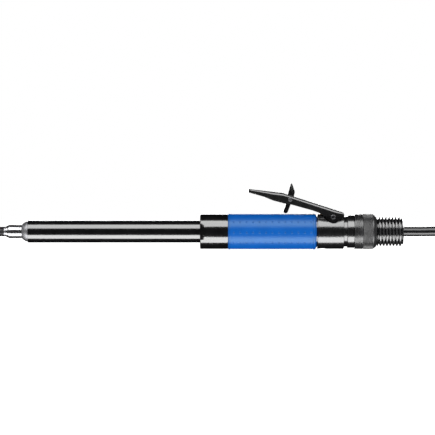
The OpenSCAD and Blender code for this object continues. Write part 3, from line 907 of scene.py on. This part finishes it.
class CutRound(GeometryTree):
    """Cuts rings or a thread in a turned part on the X axis."""

    def __init__(self) -> None:
        """Builds the tree: Starts is 0 for rings and 1 for a thread."""
        super().__init__(
            "cut_round",
            {
                "Start": "Float", "End": "Float", "Pitch": "Float",
                "Starts": "Float", "Root": "Float", "Crest": "Float",
                "Land": "Float", "Valley": "Float", "Fade": "Float",
            },
        )
        g, given = self.graph, self.given
        place = g.node("GeometryNodeInputPosition").outputs[0]
        x, y, z = g.node("ShaderNodeSeparateXYZ", place).outputs
        angle = g.sum("ARCTAN2", z, y)
        radius = g.sum("SQRT", g.sum(
            "ADD", g.sum("MULTIPLY", y, y), g.sum("MULTIPLY", z, z)
        ))
        run = g.sum("DIVIDE", g.sum("SUBTRACT", x, given["Start"]), given["Pitch"])
        lead = g.sum("MULTIPLY", g.sum("DIVIDE", angle, 2 * math.pi), given["Starts"])
        phase = g.sum("FRACT", g.sum("ADD", g.sum("SUBTRACT", run, lead), 8.0))
        away = g.sum("ABSOLUTE", g.sum("SUBTRACT", g.sum("MULTIPLY", phase, 2.0), 1.0))
        tooth = g.ramp(away, given["Land"], given["Valley"], 1.0, 0.0)
        start = g.sum("ADD", given["Start"], given["Fade"])
        end = g.sum("SUBTRACT", given["End"], given["Fade"])
        rise = g.ramp(x, given["Start"], start, 0.0, 1.0)
        fall = g.ramp(x, end, given["End"], 1.0, 0.0)
        tooth = g.sum("MULTIPLY", tooth, g.sum("MULTIPLY", rise, fall))
        deep = g.sum("SUBTRACT", given["Crest"], given["Root"])
        size = g.sum("ADD", given["Root"], g.sum("MULTIPLY", tooth, deep))
        outside = g.sum("GREATER_THAN", radius, g.sum("MULTIPLY", given["Root"], 0.95))
        inside = g.sum(
            "MULTIPLY", g.sum("GREATER_THAN", x, given["Start"]),
            g.sum("LESS_THAN", x, given["End"]),
        )
        new = g.node(
            "ShaderNodeCombineXYZ", x,
            g.sum("MULTIPLY", size, g.sum("COSINE", angle)),
            g.sum("MULTIPLY", size, g.sum("SINE", angle)),
        )
        marked = g.node("GeometryNodeStoreNamedAttribute", data_type="FLOAT")
        g.put(marked.inputs["Geometry"], given["Geometry"])
        g.put(marked.inputs["Name"], WEAR_AND_SHADE)
        edge = g.ramp(tooth, 0.75, 1.0, 0.0, 1.0)
        chosen = g.sum("MULTIPLY", outside, inside)
        g.put(marked.inputs["Value"], g.sum("MULTIPLY", edge, chosen))
        cut = g.node("GeometryNodeSetPosition")
        g.put(cut.inputs["Geometry"], marked.outputs[0])
        g.put(cut.inputs["Selection"], chosen)
        g.put(cut.inputs["Position"], new.outputs[0])
        self.close(cut.outputs[0])


# Studio ----------------------------------------------------------------------


@dataclass
class Strip:
    """A long soft light beside the tool, at an angle above its axis."""

    name: str
    angle: float
    spread: float
    strength: float
    side: float = -1.0
    away: float = 1.1
    long: float = 3.4
    middle: float = 0.3

    def build(self) -> bpy.types.Object:
        """Makes the light.

        Returns:
            The light's object.
        """
        lamp = bpy.data.lights.new(self.name, "AREA")
        lamp.shape = "RECTANGLE"
        wide = 2 * self.away * math.tan(math.radians(self.spread / 2))
        lamp.size, lamp.size_y = self.long, wide
        lamp.energy = self.strength * self.long * wide * math.pi
        made = bpy.data.objects.new(self.name, lamp)
        bpy.context.scene.collection.objects.link(made)
        a = math.radians(self.angle)
        out = Vector((0.0, self.side * math.cos(a), math.sin(a)))
        made.location = out * self.away + Vector((self.middle, 0.0, 0.0))
        made.visible_camera = False
        made.rotation_euler = out.to_track_quat("Z", "X").to_euler()
        turn = made.rotation_euler.to_matrix()
        if abs((turn @ Vector((1, 0, 0))).x) < 0.9:
            made.rotation_euler = (
                turn @ Matrix.Rotation(math.pi / 2, 3, "Z")
            ).to_euler()
        return made


@dataclass
class Studio:
    """The camera, a plain pale floor, and soft strip lights."""

    lens: float = 200.0
    sensor: float = 36.0
    width: float = 0.4642
    look_at: tuple[float, float] = (0.20215, 0.0150)
    floor_gap: float = 0.6
    floor_half: float = 30.0
    floor_tone: float = 0.86
    glow_from: tuple[float, float] = (0.3, 0.42)
    glow_to: tuple[float, float] = (2.5, 0.95)
    strips: tuple[Strip, ...] = (
        Strip("upper_strip", 55.0, 44.0, 3.9),
        Strip("lower_strip", -58.0, 42.0, 5.3),
        Strip("rear_strip", 6.0, 14.0, 7.0, side=1.0, away=1.8),
    )

    def build(self) -> None:
        """Makes the camera, the floor, the lights and the world."""
        self._camera()
        self._floor()
        for strip in self.strips:
            strip.build()
        self._world()
        bpy.context.scene.view_settings.view_transform = "Standard"

    def _camera(self) -> None:
        """Makes the level camera beside the tool."""
        lens = bpy.data.cameras.new("camera")
        lens.type = "PERSP"
        lens.lens, lens.sensor_width = self.lens, self.sensor
        lens.dof.use_dof = False
        made = bpy.data.objects.new("camera", lens)
        bpy.context.scene.collection.objects.link(made)
        away = self.width * self.lens / self.sensor
        made.location = (self.look_at[0], -away, self.look_at[1])
        made.rotation_euler = (math.pi / 2, 0.0, 0.0)
        lens.clip_start, lens.clip_end = 0.05, 100.0
        bpy.context.scene.camera = made

    def _floor(self) -> None:
        """Makes the floor just under the grip and the hank."""
        level = CAD_BOX[0].z - self.floor_gap * MM
        h = self.floor_half
        mesh = bpy.data.meshes.new("floor")
        corners = [(-h, -h, level), (h, -h, level), (h, h, level), (-h, h, level)]
        mesh.from_pydata(corners, [], [(0, 1, 2, 3)])
        made = bpy.data.objects.new("floor", mesh)
        bpy.context.scene.collection.objects.link(made)
        paper = bpy.data.materials.new("pale_floor_paper")
        paper.use_nodes = True
        shader = paper.node_tree.nodes["Principled BSDF"]
        shader.inputs["Base Color"].default_value = (*(self.floor_tone,) * 3, 1.0)
        shader.inputs["Roughness"].default_value = 0.9
        shader.inputs["Emission Color"].default_value = (1.0, 1.0, 1.0, 1.0)
        graph = Graph(paper.node_tree)
        place = graph.node("ShaderNodeTexCoord").outputs["Object"]
        far = graph.node("ShaderNodeVectorMath", place, operation="LENGTH")
        (near, dim), (away, bright) = self.glow_from, self.glow_to
        glow = graph.ramp(far.outputs["Value"], near, away, dim, bright, "SMOOTHSTEP")
        graph.put(shader.inputs["Emission Strength"], glow)
        mesh.materials.append(paper)
        made.visible_glossy = False
        made.visible_diffuse = False
        made.visible_shadow = False

    def _world(self) -> None:
        """Makes a white surround that gloss sees as dim."""
        world = bpy.data.worlds.new("surround")
        bpy.context.scene.world = world
        world.use_nodes = True
        graph = Graph(world.node_tree)
        ground = world.node_tree.nodes["Background"]
        path = graph.node("ShaderNodeLightPath")
        seen = graph.ramp(path.outputs["Is Camera Ray"], 0.0, 1.0, 0.3, 1.0)
        dim = graph.ramp(path.outputs["Is Glossy Ray"], 0.0, 1.0, 1.0, 0.01)
        ground.inputs["Color"].default_value = (1.0, 1.0, 1.0, 1.0)
        graph.put(ground.inputs["Strength"], graph.sum("MULTIPLY", seen, dim))


# Supply hose -------------------------------------------------------------------


@dataclass
class SupplyHose:
    """The air hose: a straight stretch, a tied hank, and its plug."""

    radius: float = 5.0
    front: float = 530.0
    rear: float = 630.0
    turn_r: float = 30.0
    floor: float = -14.0
    layers: int = 3
    steps: int = 16
    length: float = 1340.0
    exit: tuple[float, float, float] = (378.2, 0.0, 0.0)
    lead_in: tuple[Point, ...] = (
        (352, 0, 0), (378, 0, 0), (400, 0, 0), (420, 0, 0), (440, 0, 0),
        (455, 3, -3), (475, 11, -9), (495, 21, -13), (513, 28, -14),
    )
    lead_out: tuple[Point, ...] = (
        (515, -26, 9), (504, -15, 12), (500, 0, 15), (504, 15, 17),
        (515, 26, 17.5), (530, 30, 17.5), (545, 30, 17.5),
    )
    strap_x: tuple[float, float] = (604.0, 616.0)
    strap_t: float = 1.3
    strap_proud: float = 0.35
    crimp_r: float = 6.4
    crimp_waist: float = 5.95
    plug: tuple[float, float, float] = (530.0, 30.0, 17.5)

    def build(self) -> None:
        """Makes the strap, the ferrules, the plug and the hose."""
        strap = self._strap()
        crimp = self._crimp("plug_crimp", self.plug, "plug_ferrule")
        plug = refined("quick_plug", "hose_plug", PLATED, 0.25)
        settle(plug, PLATED, Body.ROOT, "hose_plug")
        self._outlet_ferrule()
        self._hose()

    def route(self) -> list[Vector]:
        """Returns the hose's centreline, in millimetres."""
        made = [Vector(p) for p in self.lead_in]
        r, height = self.turn_r, 2 * self.radius
        for layer in range(self.layers):
            z = self.floor + layer * height
            made += self._run(self.front, self.rear, r, z)
            made += self._turn(self.rear, math.pi / 2, z, 0.0)
            made += self._run(self.rear, self.front, -r, z)
            if layer < self.layers - 1:
                made += self._turn(self.front, -math.pi / 2, z, height)
        return made + [Vector(p) for p in self.lead_out]

    def _run(self, start: float, end: float, y: float, z: float) -> list[Vector]:
        """Returns a straight run of the hank along X, with both its ends."""
        return [Vector((start + (end - start) * k / 6, y, z)) for k in range(7)]

    def _turn(self, x: float, first: float, z: float, climb: float) -> list[Vector]:
        """Half a turn of the hank, without its ends.

        Args:
            x: The station of its middle.
            first: The angle that it starts from, in radians.
            z: The height that it starts at.
            climb: How far it rises, within its first half.

        Returns:
            The points of the turn.
        """
        made = []
        for k in range(1, self.steps):
            t = k / self.steps
            a = first - math.pi * t
            lift = min(2 * t, 1.0)
            lift = climb * lift * lift * (3 - 2 * lift)
            made.append(Vector((
                x + self.turn_r * math.cos(a), self.turn_r * math.sin(a), z + lift
            )))
        return made

    def _smooth(self, points: list[Vector], parts: int = 3) -> list[Vector]:
        """Adds points between the route's own, on a smooth curve.

        Args:
            points: The route's points.
            parts: The number of steps from one to the next.

        Returns:
            The closer points.
        """
        made = []
        for i in range(len(points) - 1):
            p1, p2 = points[i], points[i + 1]
            length = (p2 - p1).length
            t1 = (p2 - points[i - 1]).normalized() if i else (p2 - p1).normalized()
            t2 = t1 if i + 2 >= len(points) else (points[i + 2] - p1).normalized()
            for k in range(parts):
                t = k / parts
                made.append(
                    p1 * (2 * t**3 - 3 * t**2 + 1) + p2 * (3 * t**2 - 2 * t**3)
                    + t1 * length * (t**3 - 2 * t**2 + t)
                    + t2 * length * (t**3 - t**2)
                )
        return made + [points[-1]]

    def _hose(self) -> None:
        points = self._smooth(self.route())
        curve = bpy.data.curves.new("air_hose", "CURVE")
        curve.dimensions = "3D"
        curve.bevel_depth = self.radius * MM
        curve.bevel_resolution = 8
        curve.use_fill_caps = True
        line = curve.splines.new("POLY")
        line.points.add(len(points) - 1)
        for spot, at in zip(line.points, points):
            spot.co = (*(at * MM), 1.0)
        line.use_smooth = True
        curve.materials.append(HOSE_SKIN.material())
        made = bpy.data.objects.new("air_hose", curve)
        bpy.context.scene.collection.objects.link(made)
        settle(made, HOSE_SKIN, Body.ROOT, "supply_hose", "hose_hank", "hose_end")
        length = sum((b - a).length for a, b in zip(points, points[1:])) * MM
        log.info("the hose is %.3f m long", length)

    def _crimp(self, name: str, at: Point, node: str) -> bpy.types.Object:
        """A ferrule with two crimped grooves.

        Args:
            name: The piece's name.
            at: The middle of its front face, in millimetres.
            node: The frame node that it replaces.

        Returns:
            The ferrule.
        """
        low, high = span(node)
        low, high = low - at[0], high - at[0]
        r, waist = self.crimp_r, self.crimp_waist
        third = (high - low) / 3
        outline = [(low, self.radius + 0.05), (low, r - 0.4, 0.3)]
        outline.append((low + 0.8, r, 0.4))
        for k in (1, 2):
            middle = low + k * third
            outline += [
                (middle - 1.9, r, 0.6), (middle - 1.0, waist, 0.5),
                (middle + 1.0, waist, 0.5), (middle + 1.9, r, 0.6),
            ]
        outline += [
            (high - 0.8, r, 0.4), (high, r - 0.5, 0.3), (high, self.radius + 0.05)
        ]
        shape = revolved(filleted(outline, True), offset=at, segments=64)
        return settle(piece(name, shape, PLATED), PLATED, Body.ROOT, node)

    def _outlet_ferrule(self) -> None:
        """Makes the ferrule that holds the hose on the inlet's barb."""
        self._crimp("outlet_crimp", (0.0, 0.0, 0.0), "hose_ferrule")

    def _strap(self) -> bpy.types.Object:
        """Makes the woven strap round the hank, with its end lapped over.

        Returns:
            The strap.
        """
        x0, x1 = self.strap_x
        corner = self.radius + self.strap_proud
        half_y = self.turn_r
        low = self.floor
        top = self.floor + (self.layers - 1) * 2 * self.radius
        centres = [(half_y, low), (half_y, top), (-half_y, top), (-half_y, low)]
        path: list[tuple[float, float, float, float]] = []
        for c, (y, z) in enumerate(centres):
            start = -math.pi / 2 + c * math.pi / 2
            for k in range(7):
                a = start + math.pi / 2 * k / 6
                path.append((y, z, math.cos(a), math.sin(a)))
        shape = bmesh.new()
        wear_and_shade = shape.verts.layers.float.new(WEAR_AND_SHADE)
        rings = []
        for y, z, ny, nz in path:
            ring = []
            for x, out in (
                (x0, corner - self.strap_t), (x0, corner - 0.2),
                (x0 + 0.3, corner), (x1 - 0.3, corner),
                (x1, corner - 0.2), (x1, corner - self.strap_t),
            ):
                vert = shape.verts.new(
                    Vector((x, y + ny * out, z + nz * out)) * MM
                )
                vert[wear_and_shade] = 0.0
                ring.append(vert)
            rings.append(ring)
        for i, one in enumerate(rings):
            two = rings[(i + 1) % len(rings)]
            for k in range(6):
                n = (k + 1) % 6
                shape.faces.new((one[k], one[n], two[n], two[k]))
        self._lap(shape, x0, x1, top + corner)
        bmesh.ops.recalc_face_normals(shape, faces=shape.faces)
        made = piece("strap_of_hank", shape, STRAP)
        return settle(made, STRAP, Body.ROOT, "hose_tie")

    def _lap(
        self, shape: bmesh.types.BMesh, x0: float, x1: float, z: float
    ) -> None:
        """Adds the strap's lapped end, with a rounded tip.

        Args:
            shape: The strap's mesh.
            x0: The strap's front edge.
            x1: The strap's rear edge.
            z: The height of the strap's top face.
        """
        y_from, y_to = -14.0, 22.0
        half = (x1 - x0) / 2 - 0.2
        middle = (x0 + x1) / 2
        outline = [(middle + half, y_from), (middle - half, y_from)]
        for k in range(9):
            a = math.pi - math.pi * k / 8
            outline.append(
                (middle + half * math.cos(a), y_to - half + half * math.sin(a))
            )
        layers = []
        bevel = 0.25
        for lift, inset in (
            (-0.1, 0.0), (self.strap_t - bevel, 0.0), (self.strap_t, bevel)
        ):
            ring = []
            for x, y in outline:
                x_in = middle + (x - middle) * (1 - inset / half)
                ring.append(shape.verts.new(Vector((x_in, y, z + lift)) * MM))
            layers.append(ring)
        count = len(outline)
        for one, two in zip(layers, layers[1:]):
            for k in range(count):
                n = (k + 1) % count
                shape.faces.new((one[k], one[n], two[n], two[k]))
        shape.faces.new(layers[0])
        shape.faces.new(layers[-1])


# The tool --------------------------------------------------------------------------


@dataclass
class Nose:
    """The rivet set, the sleeve that holds it, and the nose cone."""

    sleeve_r: float = 7.1
    tip_r: float = 5.7
    bore_r: float = 5.3
    neck_r: float = 6.25

    def build(self) -> None:
        """Makes the pieces of the nose."""
        made = refined("rivet_set_steel", "rivet_set", DARK_STEEL, 0.3)
        settle(made, DARK_STEEL, Body.SET, "rivet_set")
        self._sleeve()
        self._cone()
        dress("set_retainer", SPRING)
        dress("set_bushing", BRONZE)

    def _sleeve(self) -> None:
        """Makes the chromed sleeve."""
        low, high = span("nose_sleeve")
        flare = low + 3.2
        r = self.sleeve_r
        outline = [
            (low, self.bore_r, 0.2), (low, self.tip_r, 0.3),
            (flare - 1.2, self.tip_r + 0.7, 0.3), (flare, r, 0.35),
            (high - 2.6, r, 0.1), (high - 2.4, r - 0.2, 0.1),
            (high - 2.0, r - 0.2, 0.1), (high - 1.8, r, 0.1),
            (high, r, 0.3), (high, self.neck_r),
            (low + 3.7, self.neck_r), (low + 3.7, self.bore_r),
        ]
        shape = revolved(filleted(outline, True))
        made = piece("chrome_nose_sleeve", shape, CHROME)
        settle(made, CHROME, Body.ROOT, "nose_sleeve")

    def _cone(self) -> None:
        """Makes the rounded nose cone."""
        low, high = span("nose_cone")
        outline = [
            (low, self.bore_r), (low, 6.2, 0.3), (-6.4, 6.2), (-6.4, 7.5, 0.25),
            (-5.4, 8.5, 0.5), (-4.1, 9.4, 0.7), (-2.6, 10.2, 0.7),
            (-1.2, 10.7, 0.4), (-0.01, 10.75), (-0.01, 8.95),
            (high, 8.95), (high, 6.5), (-4.0, 6.5), (-4.0, self.bore_r),
        ]
        shape = revolved(filleted(outline, True))
        made = piece("steel_nose_cone", shape, SATIN_STEEL)
        settle(made, SATIN_STEEL, Body.ROOT, "nose_cone")


@dataclass
class Barrel:
    """The long black barrel and the collar that clamps it."""

    radius: float = 11.75
    seat_r: float = 11.5
    seat_len: float = 22.55
    counterbore: float = 9.0
    bore: float = 7.15
    flange_r: float = 13.9
    flange_len: float = 14.8

    def build(self) -> None:
        """Makes the barrel and the collar."""
        low, high = span("barrel_tube")
        step = high - self.flange_len
        seat = high - self.seat_len
        outline = [
            (low, self.counterbore), (low, self.radius, 0.45),
            (seat, self.radius), (seat, self.seat_r), (step, self.seat_r),
            (step, self.flange_r, 0.2),
            (high, self.flange_r), (high, self.bore),
            (low + 20.1, self.bore), (low + 20.1, self.counterbore),
        ]
        made = piece("black_barrel", revolved(filleted(outline, True)), BLACK_STEEL)
        settle(made, BLACK_STEEL, Body.ROOT, "barrel_tube")
        made = refined("black_front_collar", "front_collar", BLACK_STEEL, 0.3)
        settle(made, BLACK_STEEL, Body.ROOT, "front_collar")
        dress("barrel_seal", SEAL)


@dataclass
class Grip:
    """The moulded blue sleeve with its rows of small pips."""

    radius: float = 18.68
    lip_r: float = 19.0
    bore: float = 16.45
    rows: int = 10
    pips: int = 13
    pitch: float = 6.85
    first: float = 6.0
    pip_r: float = 1.25
    pip_h: float = 0.5
    first_row: float = 147.6

    def build(self) -> None:
        """Makes the sleeve and its pips, and dresses the tube under it."""
        low, high = span("grip_sleeve")
        r, lip = self.radius, self.lip_r
        outline = [
            (low, self.bore), (low, lip - 0.5, 0.3), (low + 0.6, lip, 0.4),
            (low + 1.6, lip, 0.4), (low + 2.2, r, 0.4), (high - 3.6, r, 0.5),
            (high - 2.9, lip, 0.5), (high - 1.3, lip, 0.8),
            (high, lip - 1.1, 0.4), (high, self.bore),
        ]
        # The lip's rounded corners here and the pips' tops below take the darker blue
        # second tone: painted shade for the pips' dark dots.
        made = piece("blue_grip", revolved(filleted(outline, True)), GRIP_BLUE)
        made = StudRows(Stud.DOME).run(
            made, GRIP_BLUE, Along=self.pips, Around=self.rows,
            Start=(low + self.first) * MM, Pitch=self.pitch * MM,
            Radius=(r - 0.19) * MM, First_Angle=math.radians(self.first_row),
            Stud_Radius=self.pip_r * MM, Stud_Height=self.pip_h * MM,
        )
        settle(made, GRIP_BLUE, Body.ROOT, "grip_sleeve")
        dress("handle_housing", BLACK_STEEL)


@dataclass
class Throttle:
    """The valve body, the lever, the lock-off latch and their pins."""

    def build(self) -> None:
        """Makes the valve body, the lever and the latch."""
        for name, node, finish, body, width in (
            ("black_valve_body", "valve_body", VALVE_BLACK, Body.ROOT, 0.3),
            ("black_latch", "lock_off_latch", LEVER_BLACK, Body.LATCH, 0.5),
            ("stem_guide_bush", "stem_bush", BRONZE, Body.ROOT, 0.15),
            ("drilled_lever_pin", "lever_pin", PIN_STEEL, Body.ROOT, 0.25),
            ("grey_latch_pin", "latch_pin", PIN_STEEL, Body.LEVER, 0.3),
        ):
            settle(refined(name, node, finish, width), finish, body, node)
        Lever().build()
        dress("throttle_stem", CHROME)
        dress("latch_spring", SPRING)
        dress("valve_plug", DARK_STEEL)


@dataclass
class Lever:
    """The bent steel lever: a channel with rounded shoulders.

    Its shape is measured from the middle of its pin.
    """

    width: float = 18.4
    sheet: float = 2.0
    shoulder: float = 3.7
    boss_r: float = 6.1
    tip: float = -90.3
    rear: float = 11.6
    corner: float = 5.0
    kink: tuple[float, float] = (-53.5, 25.9)
    slopes: tuple[float, float] = (6.7, 17.9)
    belly: tuple[Point, ...] = (
        (-90.3, 27.2), (-89.6, 26.5), (-73.5, 22.0), (-63.7, 18.0),
        (-52.1, 14.9), (-43.7, 13.5), (-21.7, 7.4), (-14.8, 5.0),
        (-9.3, 1.1), (-4.41, -4.21),
    )
    boss_end: float = 3.55
    rear_low: float = 0.8
    slot: tuple[float, float, float, float] = (-50.6, -30.6, -3.4, 6.3)
    latch_at: tuple[float, float] = (-45.7, 19.1)
    pin_hole: float = 2.85
    latch_hole: float = 2.32
    edge: float = 0.22

    def build(self) -> None:
        """Makes the lever and puts it on its body."""
        low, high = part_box("lever_pin")
        pin = (low + high) / 2 / MM
        made = piece("black_lever", self._solid(pin), LEVER_BLACK)
        made = cut(made, LEVER_BLACK, [
            self._cavity(pin), self._slot(pin),
            self._hole(pin, (0.0, 0.0), self.pin_hole),
            self._hole(pin, self.latch_at, self.latch_hole),
        ])
        made = softened(made, LEVER_BLACK, self.edge)
        settle(made, LEVER_BLACK, Body.LEVER, "throttle_lever")

    def _top(self, x: float) -> float:
        """Returns the height of the lever's top face at x."""
        front, rear = (math.tan(math.radians(a)) for a in self.slopes)
        bend, height = self.kink
        return height + (bend - x) * (front if x < bend else rear)

    def _under(self, x: float) -> float:
        """Returns the height of the top sheet's underside at x."""
        slope = self.slopes[0] if x < self.kink[0] else self.slopes[1]
        return self._top(x) - self.sheet / math.cos(math.radians(slope))

    def _low(self, x: float) -> float:
        """Returns the height of the lever's lower edge at x."""
        last = self.belly[-1][0]
        if last < x < self.boss_end:
            return -math.sqrt(self.boss_r**2 - x * x)
        if x >= self.boss_end:
            start = -math.sqrt(self.boss_r**2 - self.boss_end**2)
            t = (x - self.boss_end) / (self.rear - self.boss_end)
            return start + (self.rear_low - start) * t
        for (x0, z0), (x1, z1) in zip(self.belly, self.belly[1:]):
            if x <= x1:
                return z0 + (z1 - z0) * (x - x0) / (x1 - x0)
        return self.belly[-1][1]

    def _half(self, x: float) -> float:
        """Returns half the lever's width at x, less at its rounded tip."""
        full = self.width / 2
        past = self.corner - (x - self.tip)
        if past <= 0:
            return full
        return full - self.corner + math.sqrt(max(self.corner**2 - past**2, 0.0))

    def _stations(self) -> list[float]:
        """Returns the stations along X that the solid is lofted through."""
        tip = [self.tip + d for d in (0.0, 0.25, 0.8, 1.6, 2.6, 3.8, 5.0)]
        body = [x for x, _ in self.belly[2:]] + [self.kink[0] - 1.2, self.kink[0]]
        body += [self.kink[0] + 1.2]
        first, last = self.belly[-1][0], self.boss_end
        boss = [first + (last - first) * k / 12 for k in range(1, 13)]
        return sorted(set(tip + body + boss + [self.rear - 1.0, self.rear]))

    def _ring(self, x: float) -> list[tuple[float, float]]:
        """Returns the outline of the solid at x, as points of (y, z)."""
        half, top, low = self._half(x), self._top(x), self._low(x)
        if x in (self.tip, self.rear):
            top -= 0.8
        r = min(self.shoulder, 0.45 * (top - low), 0.9 * half)
        arc = [math.pi * k / 16 for k in range(9)]
        left = [(-half + r - r * math.cos(a), top - r + r * math.sin(a)) for a in arc]
        right = [(-y, z) for y, z in reversed(left)]
        return [(-half, low), *left, *right, (half, low)]

    def _solid(self, pin: Vector) -> bmesh.types.BMesh:
        """The lever before it is hollowed.

        Args:
            pin: The middle of its pin, in millimetres.

        Returns:
            The mesh, in metres.
        """
        made = bmesh.new()
        rings = []
        for x in self._stations():
            ring = [
                made.verts.new((pin + Vector((x, y, z))) * MM)
                for y, z in self._ring(x)
            ]
            rings.append(ring)
        count = len(rings[0])
        for one, two in zip(rings, rings[1:]):
            for k in range(count):
                n = (k + 1) % count
                made.faces.new((one[k], one[n], two[n], two[k]))
        made.faces.new(rings[0])
        made.faces.new(rings[-1])
        bmesh.ops.recalc_face_normals(made, faces=made.faces)
        return made

    def _cavity(self, pin: Vector) -> bmesh.types.BMesh:
        """Returns the channel between the lever's two sides."""
        first, last = self.tip + 3.0, self.rear + 1.0
        side = [
            (first, self._under(first)), (self.kink[0], self._under(self.kink[0])),
            (last, self._under(last)), (last, -20.0), (first, -20.0),
        ]
        half = self.width / 2 - self.sheet
        return slab(side, -half, half, pin)

    def _slot(self, pin: Vector) -> bmesh.types.BMesh:
        """Returns the slot that the latch and its spring stand in."""
        x0, x1, y0, y1 = self.slot
        side = [(x0, 12.0), (x1, 12.0), (x1, 40.0), (x0, 40.0)]
        return slab(side, y0, y1, pin)

    def _hole(
        self, pin: Vector, at: tuple[float, float], r: float
    ) -> bmesh.types.BMesh:
        """Returns a round hole across the lever."""
        side = [
            (at[0] + r * math.cos(a), at[1] + r * math.sin(a))
            for a in (2 * math.pi * k / 48 for k in range(48))
        ]
        return slab(side, -self.width, self.width, pin)


@dataclass
class RearRings:
    """The lock ring, the ridged ring and the knurled regulator ring."""

    lock_r: float = 17.35
    ridge_r: float = 18.65
    ridges: int = 7
    ridge_deep: float = 0.35
    regulator_r: float = 18.5
    bore: float = 13.15
    chamfer: float = 3.0
    knurl: float = 0.6
    knurl_high: float = 0.23

    def build(self) -> None:
        """Makes the three rings."""
        self._lock()
        self._ridged()
        self._regulator()
        dress("regulator_seal", SEAL)

    def _lock(self) -> None:
        """Makes the smooth lock ring."""
        low, high = span("lock_ring")
        outline = [
            (low, 16.1), (low, self.lock_r, 0.5), (high, self.lock_r, 0.5),
            (high, self.bore), (low + 2.9, self.bore), (low + 2.9, 16.1),
        ]
        shape = revolved(filleted(outline, True))
        made = piece("black_lock_ring", shape, VALVE_BLACK)
        settle(made, VALVE_BLACK, Body.ROOT, "lock_ring")

    def _ridged(self) -> None:
        """Makes the ring with fine ridges round it."""
        low, high = span("exhaust_ring")
        steps = 84
        outline = [(low, self.bore, 0.0)]
        outline += [
            (low + (high - low) * k / steps, self.ridge_r, 0.0)
            for k in range(steps + 1)
        ]
        outline.append((high, self.bore, 0.0))
        made = piece("ridged_exhaust_ring", revolved(outline), RIDGED)
        made = CutRound().run(
            made, RIDGED, Start=(low - 0.01) * MM, End=(high + 0.01) * MM,
            Pitch=(high - low) / self.ridges * MM, Starts=0.0,
            Root=(self.ridge_r - self.ridge_deep) * MM, Crest=self.ridge_r * MM,
            Land=0.4, Valley=0.9, Fade=0.2 * MM,
        )
        settle(made, RIDGED, Body.ROOT, "exhaust_ring")

    def _regulator(self) -> None:
        """Makes the knurled ring that turns to set the power."""
        low, high = span("regulator_ring")
        r = self.regulator_r
        edge = high - self.chamfer
        outline = [
            (low, self.bore), (low, r - 0.3, 0.2), (low + 0.4, r, 0.2),
            (edge - 0.4, r, 0.3), (edge, r - 0.2, 0.3),
            (high, r + 0.4 - self.chamfer, 0.4), (high, self.bore),
            (high - 3.0, self.bore), (high - 3.0, 14.6),
            (low + 2.6, 14.6), (low + 2.6, self.bore),
        ]
        made = piece("knurled_regulator_ring", revolved(filleted(outline, True)),
                     KNURLED)
        pitch = math.sqrt(2) * self.knurl
        made = StudRows(Stud.PYRAMID).run(
            made, KNURLED, Along=int((edge - low - 1.4) / pitch),
            Around=int(2 * math.pi * r / pitch), Start=(low + 1.0) * MM,
            Pitch=pitch * MM, Radius=(r - 0.02) * MM, First_Angle=0.0,
            Stud_Radius=self.knurl * MM, Stud_Height=self.knurl_high * MM,
        )
        settle(made, KNURLED, Body.REGULATOR, "regulator_ring")


@dataclass
class ExhaustTail:
    """The threaded tail, with the inlet fitting inside it."""

    core_r: float = 13.1
    root_r: float = 13.2
    crest_r: float = 15.35
    bore: float = 10.5
    pitch: float = 3.5
    turns: int = 8
    step: float = 0.25

    def build(self) -> None:
        """Makes the tail with its thread, and dresses what it holds."""
        low, high = span("exhaust_tail")
        start = high - 0.5 - self.turns * self.pitch
        count = round((high - start) / self.step)
        outline = [(low, self.bore, 0.0), (low, self.core_r, 0.0)]
        outline += [
            (start + (high - start) * k / count, self.root_r, 0.0)
            for k in range(count + 1)
        ]
        outline[-1] = (high, 12.9, 1.0)
        outline.append((high, self.bore, 0.5))
        made = piece("threaded_exhaust_tail", revolved(outline), TAIL_BLACK)
        made = CutRound().run(
            made, TAIL_BLACK, Start=start * MM, End=(high - 0.3) * MM,
            Pitch=self.pitch * MM, Starts=1.0, Root=self.root_r * MM,
            Crest=self.crest_r * MM, Land=0.42, Valley=0.85, Fade=0.8 * MM,
        )
        settle(made, TAIL_BLACK, Body.ROOT, "exhaust_tail")
        dress("silencer_disc", SINTERED)
        dress("inlet_adapter", BRASS)
        dress("inlet_screen", SPRING)


@dataclass
class Inside:
    """The parts that a closed tool hides, each in its own finish."""

    valve_travel: float = 2.4
    finishes: dict[str, Finish] = field(default_factory=lambda: {
        "piston": INNER_STEEL, "valve_chest": INNER_STEEL,
        "shuttle_valve": BRONZE, "valve_cap": INNER_STEEL,
        "cap_buffer": SEAL, "body_seals": SEAL, "throttle_valve": SEAL,
        "valve_seat": BRONZE,
    })

    def build(self) -> None:
        """Dresses every hidden part, and gives the valve spring a rounded copy with a mesh
        of its own.
        """
        for name, finish in self.finishes.items():
            dress(name, finish)
        made = refined("valve_return_spring", "valve_spring", SPRING, 0.02)
        settle(made, SPRING, Body.ROOT, "valve_spring")
        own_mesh(made)


def main() -> None:
    """Builds the studio and the tool."""
    logging.basicConfig(level=logging.INFO, format="%(message)s")
    for part in (
        Studio(), SupplyHose(), Nose(), Barrel(), Grip(), Throttle(),
        RearRings(), ExhaustTail(), Inside(),
    ):
        part.build()
        log.info("%s is built", type(part).__name__)


if __name__ == "__main__":
    main()
